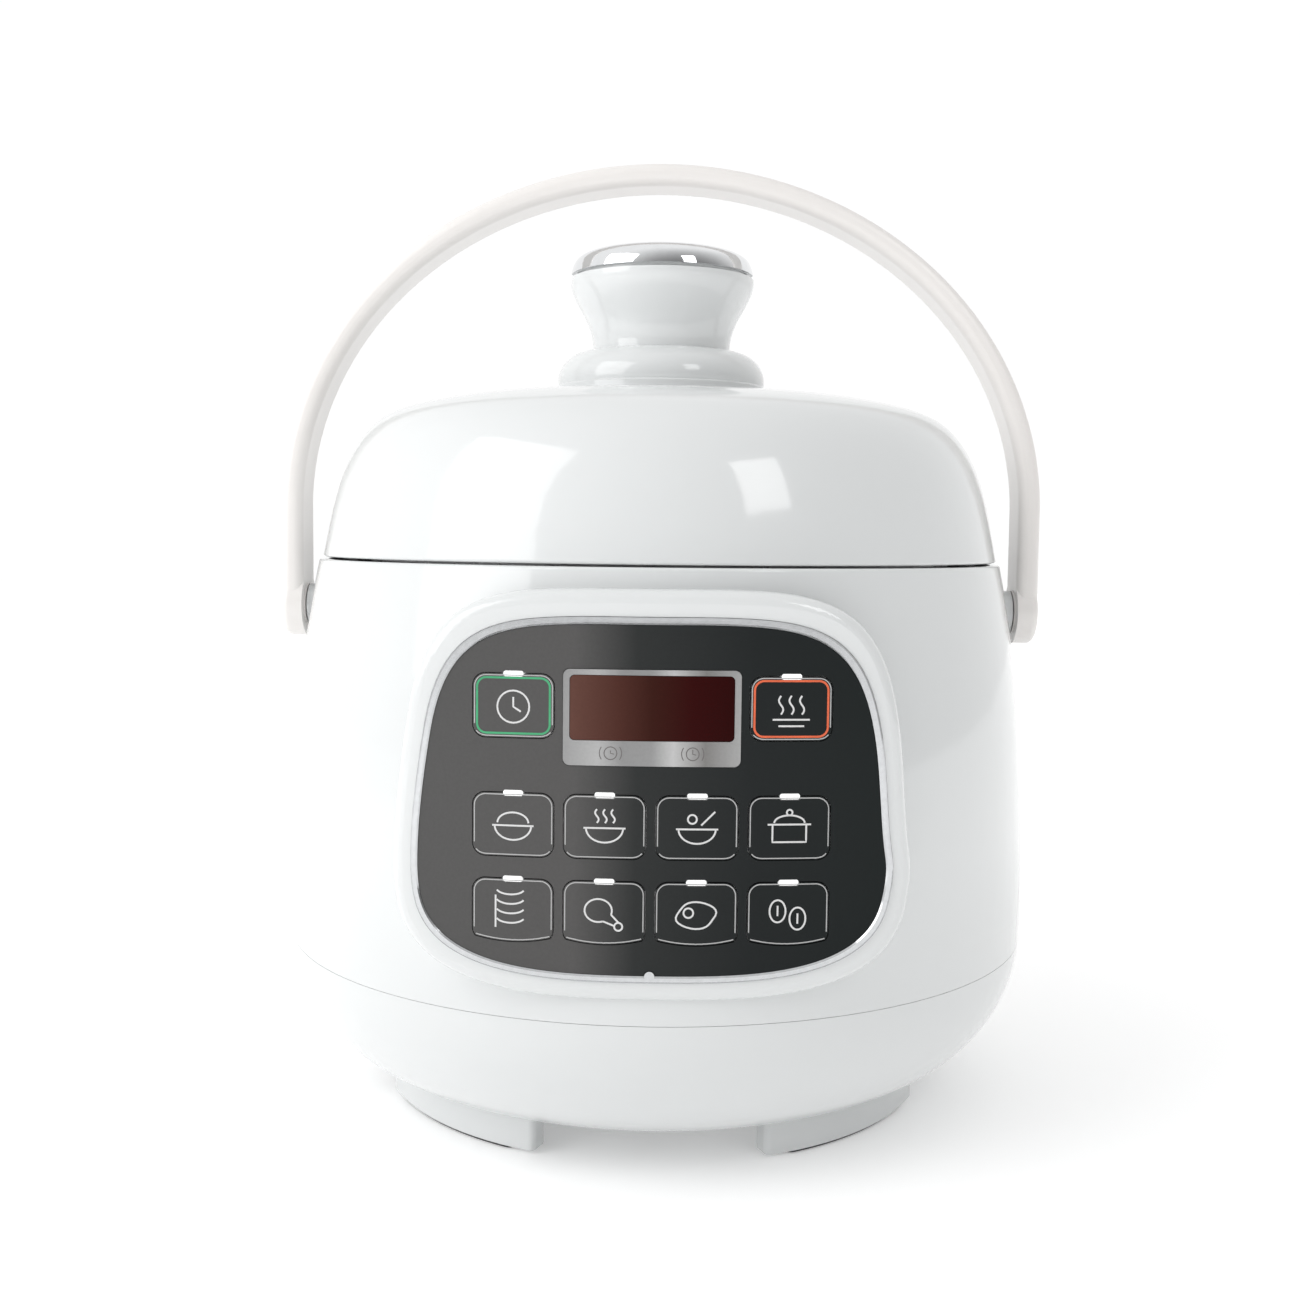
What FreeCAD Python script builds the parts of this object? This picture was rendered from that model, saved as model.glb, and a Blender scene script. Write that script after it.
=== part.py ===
"""Small electric pressure cooker, built as separate pieces in one frame.

Units are millimetres.  The origin is on the floor, on the cooker's upright axis.
+Z is up, -Y is the front with the control panel, and +X is the right-hand side
seen from the front.
"""
import FreeCAD, Part
import math
import os

V = FreeCAD.Vector
X_AXIS = V(1, 0, 0)
Y_AXIS = V(0, 1, 0)
Z_AXIS = V(0, 0, 1)
ORIGIN = V(0, 0, 0)

# ------------------------------------------------------------------ overall sizes
body_r = 110.2                # widest radius of the housing
body_widest_z = 57.0          # height of the widest radius
rim_r = 101.5                 # housing radius at its top edge
rim_z = 156.0                 # height of the housing's top edge
barrel_bulge = 2.7            # how far the side stands outside its own chord
parting_z = 46.6              # joint between the housing and the base shell
parting_r = 109.8             # housing radius at that joint
bottom_z = 10.5               # underside of the base shell
bottom_r = 84.0               # radius where the bowl meets the flat underside
bowl_bulge = 6.6              # how far the bowl stands outside its own chord
shell_wall = 2.6              # wall of the moulded shells

# ------------------------------------------------------------------ clearances
fixed_gap = 0.10              # between pieces of one body that sit together
moving_gap = 0.30             # between curved faces of pieces that move apart
shaft_gap = 0.05              # radial running clearance of a shaft in its bush
key_gap = 0.25                # around a key in its hole
parting_gap = 0.12            # groove between the housing and the base shell

# ------------------------------------------------------------------ feet
foot_r = 81.7                 # outer radius of the arc-shaped feet
foot_width = 7.0              # radial width of a foot
foot_angle = 46.0             # arc that one foot spans
foot_corner = 1.6             # rounding of a foot's upright corners
foot_count = 4
foot_sink = 0.8               # the foot's own bottom stays this far off the floor
pad_width = 4.6               # rubber pad set into the foot
pad_angle = 36.0
pad_depth = 1.6               # how deep the pad sits in the foot
base_screw_r = 66.0           # circle of the screws that hold the base shell
base_post_r = 4.6

# ------------------------------------------------------------------ control panel
panel_z = 87.7                # height where the panel is widest
panel_half_w = 57.5           # half width of the chrome frame
panel_up = 57.0               # from the widest height up to the frame's top
panel_down = 29.5             # from the widest height down to its bottom
panel_top_power = 4.8         # exponents of the rounded outline, upper and lower
panel_bottom_power = 3.2
panel_taper = 0.09            # share of its width that the outline loses towards its top
panel_front = 112.4           # distance of the panel face from the axis, at x = 0
panel_curve_r = 280.0         # radius of the panel face, bent about an upright line
boss_side = 4.6               # housing boss outside the frame, at the sides
boss_top = 6.4                # and above it
boss_bottom = 5.0             # and below it
boss_round = 3.2              # rounding of the boss's front edge
boss_wall = 2.6
frame_width = 1.7             # chrome frame, seen from the front
frame_proud = 0.8             # height of the frame above the boss face
frame_depth = 2.4             # how deep the frame and the plate sit in the boss
frame_bevel = 0.4
plate_proud = 0.4             # height of the black plate above the boss face
notch_r = 1.2                 # small round notch in the frame at bottom centre

# ------------------------------------------------------------------ keys
key_w = 19.2
key_h = 15.0
key_corner = 3.0
key_pitch_x = 21.7            # between the four key columns
row_z = {"top": 123.6, "middle": 95.4, "bottom": 74.9}
key_proud = 0.15              # height of a key above the black plate
key_thick = 2.0
key_travel = 0.6
bottom_bow = 1.3              # how far the lowest keys' lower edge bows down
plunger_r = 2.2
pip_w = 4.7                   # indicator light on each key's top edge
pip_h = 1.3

# ------------------------------------------------------------------ display
bezel_w = 41.6
bezel_h = 22.6
bezel_z = 121.2
bezel_corner = 1.6
bezel_thick = 1.4
bezel_proud = 0.25
window_w = 38.4
window_h = 15.2
window_z = 123.5
window_corner = 1.2

# ------------------------------------------------------------------ electronics
board_thick = 1.6
control_board_y = 101.8       # distance of the control board's front from the axis
control_board_w = 88.0
control_board_h = 64.0
control_board_z = 99.0
post_r = 3.0                  # plastic posts that carry a board
switch_size = 6.0             # push switch behind each key
switch_height = 3.0
screw_r = 1.5                 # thread radius of the small screws
screw_head_r = 2.8
screw_head_h = 1.8
small_screw_r = 1.1           # screws under the lid's path have low heads
small_head_r = 1.9
small_head_h = 0.9
small_post_r = 2.1
power_board_w = 78.0
power_board_d = 46.0
power_board_z = 17.0
power_board_y = 18.0
power_screw_length = 5.2

# ------------------------------------------------------------------ mains inlet
inlet_z = 66.0                # centre height of the inlet at the back
inlet_w = 27.0                # socket opening
inlet_h = 19.5
inlet_depth = 13.0
inlet_flange_w = 42.0
inlet_flange_h = 25.0
inlet_flange_t = 2.2
inlet_face = 111.6            # distance of the flange's outer face from the axis
inlet_wall = 1.8
inlet_screw_x = 17.9

# ------------------------------------------------------------------ heating side
shield_r = 89.0               # outside of the steel heat shield
shield_wall = 0.8
shield_bottom_z = 32.0
shield_flange_r = 98.0
ledge_z = 148.2               # top of the housing's inner ledge
ledge_t = 1.8
heater_r = 72.0
heater_t = 9.0
heater_lift = 1.6             # gap between shield bottom and heating plate
element_ring_r = 50.0
element_tube_r = 3.4
heater_hole_r = 13.5
heater_foot_r = 62.0
heater_foot_angle = 15.0
sensor_r = 11.5
sensor_h = 6.0
sensor_stem_r = 4.0
sensor_stem_h = 7.0
sensor_spring_r = 6.0
sensor_seat_drop = 3.0        # spring seat below the shield bottom
sensor_spring_turns = 5
spring_wire_r = 0.5
pot_r = 80.0                  # outside of the inner pot
pot_wall = 1.6
pot_corner = 12.0
pot_rest_gap = 0.2
pot_rim_r = 84.6
pot_rim_z = 149.6             # top of the pot's rolled rim
pot_rim_t = 1.6

# ------------------------------------------------------------------ bayonet and lid
ring_base_t = 1.2
ring_wall_r = 94.8            # outside of the locking ring's upright wall
ring_wall_t = 1.5
tab_inner_r = 88.4
tab_t = 1.4
tab_count = 6
tab_angle = 25.0
lug_angle = 23.0
lug_r = 92.4
lug_t = 1.2
lug_drop = 1.4                # gap between a tab's underside and a lug's top
lid_gap = 0.6                 # dark gap between the housing and the lid
rim_cover_drop = 1.2          # rim cover's top below the housing's top edge
rim_cover_gap = 0.5
lid_edge_r = 100.5
lid_wall = 2.2
lid_plate_r = 86.6
lid_plate_t = 1.0
plate_top_z = 159.4
lid_ring_t = 2.2
lid_screw_r = 72.0            # circle of the screws that hold the steel plate
seal_inner_r = 78.6
seal_lip = 2.2                # thickness of the seal's lip, back and top

# ------------------------------------------------------------------ knob and valve
knob_base_r = 31.3
knob_base_z = 205.2
knob_waist_z = 218.2
knob_waist_r = 20.7
knob_top_z = 240.1
knob_top_r = 27.7
knob_collar_r = 25.6
knob_collar_h = 2.2
knob_well = 4.0               # depth of the cap's well below the knob top
cap_edge_r = 27.4
cap_edge_z = 241.2
cap_top_z = 248.7
cap_top_t = 2.6
cap_stem_r = 3.0
cap_spring_r = 6.0
cap_spring_turns = 4
cap_spring_gap = 0.6          # from the spring's top to the underside of the cap
vent_r = 5.0
vent_bore_r = 3.4
float_x = 34.0
float_r = 2.6
float_rise = 3.5              # how far the float lifts until its seal meets the plate
float_head_r = 4.2
float_head_h = 1.6
float_seal_r = 3.2            # middle radius of the float's seal
float_seal_wire = 0.8

# shapes as (share of the radius or its growth, share of the height)
dome_shape = ((0.967, 0.344), (0.910, 0.651), (0.838, 0.822), (0.736, 0.909), (0.398, 0.981))
flange_shape = ((0.978, 0.570), (0.907, 0.820))
knob_shape = ((0.07, 0.25), (0.27, 0.43), (0.56, 0.60), (0.83, 0.77), (0.985, 0.945))
cap_shape = ((0.982, 0.310), (0.942, 0.580), (0.847, 0.800), (0.584, 0.945))

# ------------------------------------------------------------------ carry handle
pivot_z = 141.5
handle_mid_x = 110.9          # mid-line of a leg
handle_thick = 6.4
handle_depth = 17.0
handle_round = 2.7
handle_top_z = 273.3          # top face of the arch
handle_bend_z = 171.0         # height where the legs begin to bend
handle_hub_r = 9.6
hub_step = 0.4                # hub stands inside the leg's inner face
pivot_boss_face = 106.9       # flat face of the housing's round pivot boss
pivot_boss_r = 6.4
pin_r = 3.0
pin_cover = 2.0               # handle wall left outside the pin
pin_neck_r = 2.2              # pin radius in the clip's groove
clip_gap = 0.2                # between the clip and the bush's end
bush_wall = 1.6
bush_length = 9.0
clip_t = 1.0
clip_r = 4.4


# ------------------------------------------------------------------ sizes that follow from those above
base_post_top = shield_bottom_z - 7.0
heater_low = shield_bottom_z + shield_wall + heater_lift
heater_top = heater_low + heater_t
element_z = heater_low + element_tube_r - 0.8
pot_low = heater_top + pot_rest_gap
sensor_seat_z = shield_bottom_z - sensor_seat_drop
ring_low = ledge_z + shield_wall
ring_top = rim_z - 0.3
lug_top = ring_top - tab_t - lug_drop
lid_low = rim_z + lid_gap
seal_low = pot_rim_z + moving_gap
bush_inner_x = pivot_boss_face - bush_length


# ================================================================== helpers
def polar(radius, degrees, z=0.0):
    """A point at an angle counted from the front (-Y) towards +X."""
    angle = math.radians(degrees - 90.0)
    return V(radius * math.cos(angle), radius * math.sin(angle), z)


def arc_bulging(start, end, bulge):
    """An arc in the XZ plane that stands `bulge` outside the chord, away from the axis."""
    mid = (start + end) * 0.5
    chord = end - start
    normal = V(-chord.z, 0, chord.x).normalize()
    if normal.x < 0:
        normal = normal * -1
    return Part.Arc(start, mid + normal * bulge, end).toShape()


def lines(points):
    """Straight edges through (r, z) points in the XZ plane."""
    corners = [V(r, 0, z) for r, z in points]
    return [Part.makeLine(a, b) for a, b in zip(corners, corners[1:])]


def spun(edges):
    """Solid of revolution from the edges of a closed section in the XZ plane."""
    wire = Part.Wire(Part.__sortEdges__(edges))
    return Part.Face(wire).revolve(ORIGIN, Z_AXIS, 360)


def ring(outer_r, inner_r, low, high):
    """A plain upright tube or disc on the cooker's axis."""
    solid = Part.makeCylinder(outer_r, high - low, V(0, 0, low))
    if inner_r > 0:
        solid = solid.cut(Part.makeCylinder(inner_r, high - low, V(0, 0, low)))
    return solid


def sector(outer_r, inner_r, low, high, middle, span):
    """Part of an upright tube, `span` degrees wide and centred on the angle `middle`."""
    solid = Part.makeCylinder(outer_r, high - low, V(0, 0, low), Z_AXIS, span)
    solid = solid.cut(Part.makeCylinder(inner_r, high - low, V(0, 0, low)))
    solid.rotate(ORIGIN, Z_AXIS, middle - span / 2.0 - 90.0)
    return solid


def fuse_all(solids):
    """One solid from several that touch or overlap."""
    result = solids[0]
    for solid in solids[1:]:
        result = result.fuse(solid)
    return result.removeSplitter()


def rounded_box(x_size, z_size, corner, y_near, y_far, x=0.0, z=0.0):
    """A block from y_near to y_far whose outline, seen from the front, has round corners."""
    box = Part.makeBox(x_size, y_far - y_near, z_size, V(x - x_size / 2.0, y_near, z - z_size / 2.0))
    upright = [e for e in box.Edges if abs(e.Vertexes[0].Y - e.Vertexes[-1].Y) > 0.001]
    return box.makeFillet(corner, upright)


def side_r(z):
    """Radius of the housing's outer side at height z."""
    chord_h = rim_z - body_widest_z
    chord_r = body_r - rim_r
    half = math.hypot(chord_h, chord_r) / 2.0
    arc_r = (half * half + barrel_bulge * barrel_bulge) / (2.0 * barrel_bulge)
    lean = math.atan2(chord_r, chord_h)
    inward = arc_r - barrel_bulge
    centre_r = (body_r + rim_r) / 2.0 - inward * math.cos(lean)
    centre_z = (body_widest_z + rim_z) / 2.0 - inward * math.sin(lean)
    return centre_r + math.sqrt(arc_r * arc_r - (z - centre_z) ** 2)


def outline_face(half_w, up, down, y=-200.0):
    """Rounded panel outline: half a superellipse below the widest line, a tapered half above."""
    points = []
    steps = 40
    for i in range(steps):
        angle = 2.0 * math.pi * i / steps
        c = math.cos(angle)
        s = math.sin(angle)
        power = 2.0 / (panel_top_power if s >= 0 else panel_bottom_power)
        reach = up if s >= 0 else down
        taper = 1.0 - panel_taper * max(0.0, s) ** power
        x = half_w * math.copysign(abs(c) ** power, c) * taper
        z = reach * math.copysign(abs(s) ** power, s)
        points.append(V(x, y, panel_z + z))
    curve = Part.BSplineCurve()
    curve.interpolate(Points=points, PeriodicFlag=True)
    return Part.Face(Part.Wire(curve.toShape()))


def outline_prism(grow_side, grow_up, grow_down):
    """Prism along Y with the frame's outline, grown by the given amounts."""
    face = outline_face(panel_half_w + grow_side, panel_up + grow_up, panel_down + grow_down)
    return face.extrude(V(0, 160, 0))


def panel_cylinder(height):
    """Solid whose front is the curved panel face, shifted forward by `height`."""
    centre_y = panel_curve_r - panel_front
    return Part.makeCylinder(panel_curve_r + height, 400, V(0, centre_y, -50))


def between(solid, low, high):
    """What is left of a prism between two heights over the curved panel face."""
    return solid.common(panel_cylinder(high)).cut(panel_cylinder(low))


def panel_y(x, height=0.0):
    """Y of the curved panel face at x."""
    centre_y = panel_curve_r - panel_front
    return centre_y - math.sqrt((panel_curve_r + height) ** 2 - x * x)


def screw(head_centre, direction, length, thread_r=screw_r, head_r=screw_head_r, head_h=screw_head_h):
    """A pan-head screw whose head's underside is at head_centre, pointing along direction."""
    shank = Part.makeCylinder(thread_r, length, head_centre, direction)
    head = Part.makeCylinder(head_r, head_h, head_centre, direction * -1)
    rim = [e for e in head.Edges if e.Length > 1 and len(e.Vertexes) == 1]
    far = max(rim, key=lambda e: (e.CenterOfMass - head_centre).dot(direction * -1))
    head = head.makeFillet(head_h * 0.35, [far])
    body = shank.fuse(head)
    for turn in (0, 90):
        slot = Part.makeBox(head_r * 1.1, 0.7, head_h / 2.0)
        slot.translate(V(-head_r * 0.55, -0.35, -head_h))
        slot.rotate(ORIGIN, Z_AXIS, turn)
        slot.Placement = FreeCAD.Placement(head_centre, FreeCAD.Rotation(Z_AXIS, direction)).multiply(
            slot.Placement)
        body = body.cut(slot)
    return body


def compound(solids):
    return Part.makeCompound(solids)


def coil_spring(radius, wire_r, low, high, turns):
    """A round-wire compression spring on the cooker's axis."""
    helix = Part.makeHelix((high - low - 2 * wire_r) / turns, high - low - 2 * wire_r, radius)
    helix.translate(V(0, 0, low + wire_r))
    start = helix.Edges[0].valueAt(helix.Edges[0].FirstParameter)
    circle = Part.Wire(Part.makeCircle(wire_r, start, V(0, 1, 0)))
    return Part.Wire(helix.Edges).makePipeShell([circle], True, True)


# ================================================================== housing
def housing_section():
    """Closed section of the housing's outer side."""
    wide = V(body_r, 0, body_widest_z)
    seam = V(parting_r, 0, parting_z + parting_gap)
    top = V(rim_r, 0, rim_z)
    return [arc_bulging(wide, top, barrel_bulge),
            Part.makeLine(seam, wide),
            Part.makeLine(top, V(0, 0, rim_z)),
            Part.makeLine(V(0, 0, rim_z), V(0, 0, seam.z)),
            Part.makeLine(V(0, 0, seam.z), seam)]


def housing_hollow():
    """Inside of the housing's wall, in short cones that follow the outer curve."""
    low = parting_z + parting_gap
    steps = 5
    heights = [body_widest_z + (rim_z - body_widest_z) * i / steps for i in range(steps + 1)]
    points = [(0, low), (parting_r - shell_wall, low)]
    points += [(side_r(z) - shell_wall, z) for z in heights]
    points += [(0, rim_z), (0, low)]
    return spun(lines(points))


def key_places():
    """Name, x and z of every key."""
    columns = [key_pitch_x * (i - 1.5) for i in range(4)]
    places = [("key_top_left", columns[0], "top"), ("key_top_right", columns[3], "top")]
    for row in ("middle", "bottom"):
        for i, x in enumerate(columns):
            places.append(("key_%s_%d" % (row, i + 1), x, row))
    return places


def boss_prism(inset):
    """The raised part of the housing around the panel, as a prism along Y."""
    prism = outline_prism(boss_side - inset, boss_top - inset, boss_bottom - inset)
    keep = Part.makeBox(300, 160, 300, V(-150, -220, -20))
    return prism.common(keep)


def board_post_places():
    """x and z of the four posts behind the panel that carry the control board."""
    x = control_board_w / 2.0 - post_r - 1.0
    z = control_board_h / 2.0 - post_r - 1.0
    return [(sx * x, control_board_z + sz * z) for sx in (-1, 1) for sz in (-1, 1)]


def outer_housing():
    shell = spun(housing_section())
    top_edges = [e for e in shell.Edges
                 if abs(e.CenterOfMass.z - rim_z) < 0.01 and e.Length > 6 * rim_r]
    shell = shell.makeFillet(0.9, top_edges)
    boss = boss_prism(0).common(panel_cylinder(0))
    front_edges = [e for e in boss.Edges if e.CenterOfMass.y < -105 and e.Length > 100]
    boss = boss.makeFillet(boss_round, front_edges[:1])
    shell = shell.fuse(boss)
    for side in (-1, 1):
        start = V(side * (side_r(pivot_z) - 6), 0, pivot_z)
        length = pivot_boss_face - side_r(pivot_z) + 6
        shell = shell.fuse(Part.makeCylinder(pivot_boss_r, length, start, X_AXIS * side))
    rear = rounded_box(inlet_flange_w + 5, inlet_flange_h + 5, 4.0, 96, inlet_face - 0.4, 0, inlet_z)
    shell = shell.fuse(rear)

    shell = shell.cut(housing_hollow())
    inside = boss_prism(boss_wall).common(panel_cylinder(-frame_depth - boss_wall))
    inside = inside.cut(Part.makeCylinder(rim_r - 20, 400, V(0, 0, -50)))
    shell = shell.cut(inside)

    ledge_inner = shield_r + moving_gap
    ledge = ring(rim_r - 0.5, ledge_inner + 1.4, ledge_z - ledge_t, ledge_z)
    shell = shell.fuse(ledge)
    for i in range(6):
        place = polar(ring_screw_r(), ring_screw_angle(i))
        boss_post = Part.makeCylinder(small_post_r, 9, V(place.x, place.y, ledge_z - 9))
        shell = shell.fuse(boss_post)
        shell = shell.cut(Part.makeCylinder(small_screw_r, 12, V(place.x, place.y, ledge_z - 8)))

    pocket = outline_prism(fixed_gap, fixed_gap, fixed_gap)
    shell = shell.cut(pocket.cut(panel_cylinder(-frame_depth)).common(panel_cylinder(20)))
    for _, x, row in key_places():
        hole = Part.makeCylinder(plunger_r + 1.0, 30, V(x, -125, row_z[row]), Y_AXIS)
        shell = shell.cut(hole)
        pipe = rounded_box(pip_w + 0.6, pip_h + 0.6, 0.5, -125, -95, x, row_z[row] + key_h / 2.0)
        shell = shell.cut(pipe)
    opening = rounded_box(window_w - 3, window_h - 3, 1.0, -125, -95, 0, window_z)
    shell = shell.cut(opening)

    for x, z in board_post_places():
        front = panel_y(x, -frame_depth - boss_wall / 2.0)
        post = Part.makeCylinder(post_r, -control_board_y - front, V(x, front, z), Y_AXIS)
        shell = shell.fuse(post)
        shell = shell.cut(Part.makeCylinder(screw_r, 6.0, V(x, -control_board_y - 6.0, z), Y_AXIS))

    for side in (-1, 1):
        hole = Part.makeCylinder(pin_r + shaft_gap + bush_wall + fixed_gap, 40, V(side * 85, 0, pivot_z),
                                 X_AXIS * side)
        shell = shell.cut(hole)
    shell = shell.cut(rounded_box(inlet_w + 2 * inlet_wall + 2 * fixed_gap, inlet_h + 2 * inlet_wall
                                  + 2 * fixed_gap, 3.0, 80, 120, 0, inlet_z))
    seat = rounded_box(inlet_flange_w + 2 * fixed_gap, inlet_flange_h + 2 * fixed_gap, 3.0,
                       inlet_face - inlet_flange_t, 120, 0, inlet_z)
    shell = shell.cut(seat)
    for side in (-1, 1):
        place = V(side * inlet_screw_x, 98, inlet_z)
        shell = shell.cut(Part.makeCylinder(screw_r, 20, place, Y_AXIS))
    return shell.removeSplitter()


def base_section(inset):
    """Closed section of the base shell's outside, moved inward by `inset`."""
    seam = V(parting_r - inset, 0, parting_z)
    low = V(bottom_r - inset * 0.4, 0, bottom_z + inset)
    return [arc_bulging(low, seam, bowl_bulge),
            Part.makeLine(seam, V(0, 0, parting_z)),
            Part.makeLine(V(0, 0, parting_z), V(0, 0, low.z)),
            Part.makeLine(V(0, 0, low.z), low)]


def foot_middles():
    return [45.0 + 360.0 / foot_count * i for i in range(foot_count)]


def base_screw_places():
    return [polar(base_screw_r, 90.0 * i) for i in range(4)]


def rounded_sector(outer_r, inner_r, low, high, middle, span):
    """A bar bent along an arc, with half-round ends."""
    mid_r = (outer_r + inner_r) / 2.0
    end_r = (outer_r - inner_r) / 2.0
    trim = math.degrees(end_r / mid_r)
    bar = sector(outer_r, inner_r, low, high, middle, span - 2 * trim)
    for sign in (-1, 1):
        place = polar(mid_r, middle + sign * (span / 2.0 - trim))
        bar = bar.fuse(Part.makeCylinder(end_r, high - low, V(place.x, place.y, low)))
    return bar.removeSplitter()


def base_shell():
    shell = spun(base_section(0)).cut(spun(base_section(shell_wall)))
    lip_r = parting_r - shell_wall - fixed_gap
    lip = ring(lip_r, lip_r - 1.6, parting_z - 4.0, parting_z + 4.0)
    neck = ring(parting_r - 1.2, lip_r - 1.6, parting_z - 4.0, parting_z - 1.6)
    shell = fuse_all([shell, neck, lip])
    for middle in foot_middles():
        foot = sector(foot_r, foot_r - foot_width, foot_sink, bottom_z + 1.0, middle, foot_angle)
        upright = [e for e in foot.Edges if abs(e.Vertexes[0].Z - e.Vertexes[-1].Z) > 1.0]
        foot = foot.makeFillet(foot_corner, upright)
        edges = [e for e in foot.Edges if abs(e.CenterOfMass.z - foot_sink) < 0.01]
        foot = foot.makeFillet(0.8, edges)
        shell = shell.fuse(foot)
    mid_r = foot_r - foot_width / 2.0
    for middle in foot_middles():
        pocket = rounded_sector(mid_r + pad_width / 2.0 + fixed_gap, mid_r - pad_width / 2.0 - fixed_gap,
                                0, foot_sink + pad_depth, middle, pad_angle + 0.2)
        shell = shell.cut(pocket)
    for place in base_screw_places():
        height = base_post_top - bottom_z - 1.0
        post = Part.makeCylinder(base_post_r, height, V(place.x, place.y, bottom_z + 1.0))
        shell = shell.fuse(post)
        shell = shell.cut(Part.makeCylinder(screw_r + 0.3, 40, V(place.x, place.y, 0)))
        sink = Part.makeCylinder(screw_head_r + 0.4, 10, V(place.x, place.y, bottom_z + 3.0 - 10))
        shell = shell.cut(sink)
    for x, y in power_board_places():
        post = Part.makeCylinder(post_r, power_board_z - bottom_z - 1.0, V(x, y, bottom_z + 1.0))
        shell = shell.fuse(post)
        depth = power_screw_length - board_thick + 0.5
        shell = shell.cut(Part.makeCylinder(screw_r, depth, V(x, y, power_board_z - depth)))
    for i in range(9):
        slot = rounded_box(2.4, 30, 1.1, 0, 10)
        slot.rotate(ORIGIN, X_AXIS, 90)
        slot.translate(V((i - 4) * 6.0, -28, bottom_z - 3))
        shell = shell.cut(slot)
    return shell.removeSplitter()


def foot_pads():
    pads = []
    mid_r = foot_r - foot_width / 2.0
    for middle in foot_middles():
        pad = rounded_sector(mid_r + pad_width / 2.0, mid_r - pad_width / 2.0, 0,
                             foot_sink + pad_depth, middle, pad_angle)
        edges = [e for e in pad.Edges if abs(e.CenterOfMass.z) < 0.01]
        pads.append(pad.makeFillet(0.3, edges))
    return compound(pads)


# ================================================================== heating side
def ring_screw_r():
    """Radius of the circle of screws that hold the locking ring."""
    return (shield_r + ring_wall_r - ring_wall_t) / 2.0


def ring_screw_angle(i):
    return 360.0 / tab_count * i + 360.0 / tab_count / 2.0


def heat_shield():
    cup = ring(shield_r, 0, shield_bottom_z, ledge_z + shield_wall)
    cup = cup.cut(ring(shield_r - shield_wall, 0, shield_bottom_z + shield_wall, ledge_z + 10))
    flange = ring(shield_flange_r, shield_r - shield_wall, ledge_z, ledge_z + shield_wall)
    cup = cup.fuse(flange)
    cup = cup.cut(ring(heater_hole_r, 0, shield_bottom_z - 1, shield_bottom_z + 3))
    for place in base_screw_places():
        post = Part.makeCylinder(base_post_r, shield_bottom_z - base_post_top,
                                 V(place.x, place.y, base_post_top))
        cup = cup.fuse(post)
        cup = cup.cut(Part.makeCylinder(screw_r, 5.0, V(place.x, place.y, base_post_top)))
    for i in range(tab_count):
        place = polar(ring_screw_r(), ring_screw_angle(i))
        cup = cup.cut(Part.makeCylinder(small_screw_r + 0.2, 5, V(place.x, place.y, ledge_z - 2)))
    for i in range(3):
        place = polar(heater_foot_r, 120.0 * i + heater_foot_angle)
        cup = cup.cut(Part.makeCylinder(screw_r + 0.3, 5, V(place.x, place.y, shield_bottom_z - 2)))
    return cup.removeSplitter()


def heating_plate():
    plate = ring(heater_r, heater_hole_r, heater_low, heater_top)
    rim = [e for e in plate.Edges if abs(e.CenterOfMass.z - heater_top) < 0.01 and e.Length > 6 * heater_r]
    plate = plate.makeFillet(2.5, rim)
    groove = Part.makeTorus(element_ring_r, element_tube_r + fixed_gap, V(0, 0, element_z))
    plate = plate.cut(groove)
    for i in range(3):
        place = polar(heater_foot_r, 120.0 * i + heater_foot_angle)
        stud = Part.makeCylinder(4.0, heater_lift, V(place.x, place.y, heater_low - heater_lift))
        plate = plate.fuse(stud)
        plate = plate.cut(Part.makeCylinder(screw_r, 5, V(place.x, place.y, heater_low - heater_lift)))
    return plate.removeSplitter()


def heating_element():
    """Tubular element: an open ring whose ends turn down through the shield's bottom space."""
    low_z = element_z
    tube = Part.makeTorus(element_ring_r, element_tube_r, V(0, 0, low_z))
    keep = Part.makeBox(200, 200, 40, V(-100, -element_ring_r + 9, low_z - 20))
    tube = tube.common(keep)
    return tube


def temperature_sensor():
    top = pot_low - pot_rest_gap
    head = ring(sensor_r, 0, top - sensor_h, top)
    head = head.makeFillet(1.0, [e for e in head.Edges if abs(e.CenterOfMass.z - top) < 0.01])
    stem = ring(sensor_stem_r, 0, top - sensor_h - sensor_stem_h, top - sensor_h)
    return fuse_all([head, stem])


def sensor_spring():
    top = pot_low - pot_rest_gap - sensor_h
    return coil_spring(sensor_spring_r, spring_wire_r, sensor_seat_z, top, sensor_spring_turns)


def sensor_bracket():
    """Strap under the shield that carries the sensor's spring."""
    strap = Part.makeBox(44, 12, 1.0, V(-22, -6, sensor_seat_z - 1.0))
    guide = ring(8.6, 7.6, sensor_seat_z - 1.0, sensor_seat_z + 2.0)
    strap = strap.fuse(guide)
    for side in (-1, 1):
        ear = Part.makeBox(6, 12, 3.0, V(side * 19 - 3, -6, sensor_seat_z))
        strap = strap.fuse(ear)
    strap = strap.cut(ring(sensor_stem_r + 0.6, 0, sensor_seat_z - 3, sensor_seat_z + 3))
    return strap.removeSplitter()


def thermal_fuse():
    """Fuse body clamped under the heat shield."""
    y = 36.0
    body = Part.makeCylinder(2.2, 14, V(-7, y, shield_bottom_z - 2.7), X_AXIS)
    strap = Part.makeBox(5, 16, 0.6, V(-2.5, y - 8, shield_bottom_z - 0.6))
    leads = Part.makeCylinder(0.5, 30, V(-15, y, shield_bottom_z - 2.7), X_AXIS)
    return fuse_all([body, strap, leads])


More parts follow.
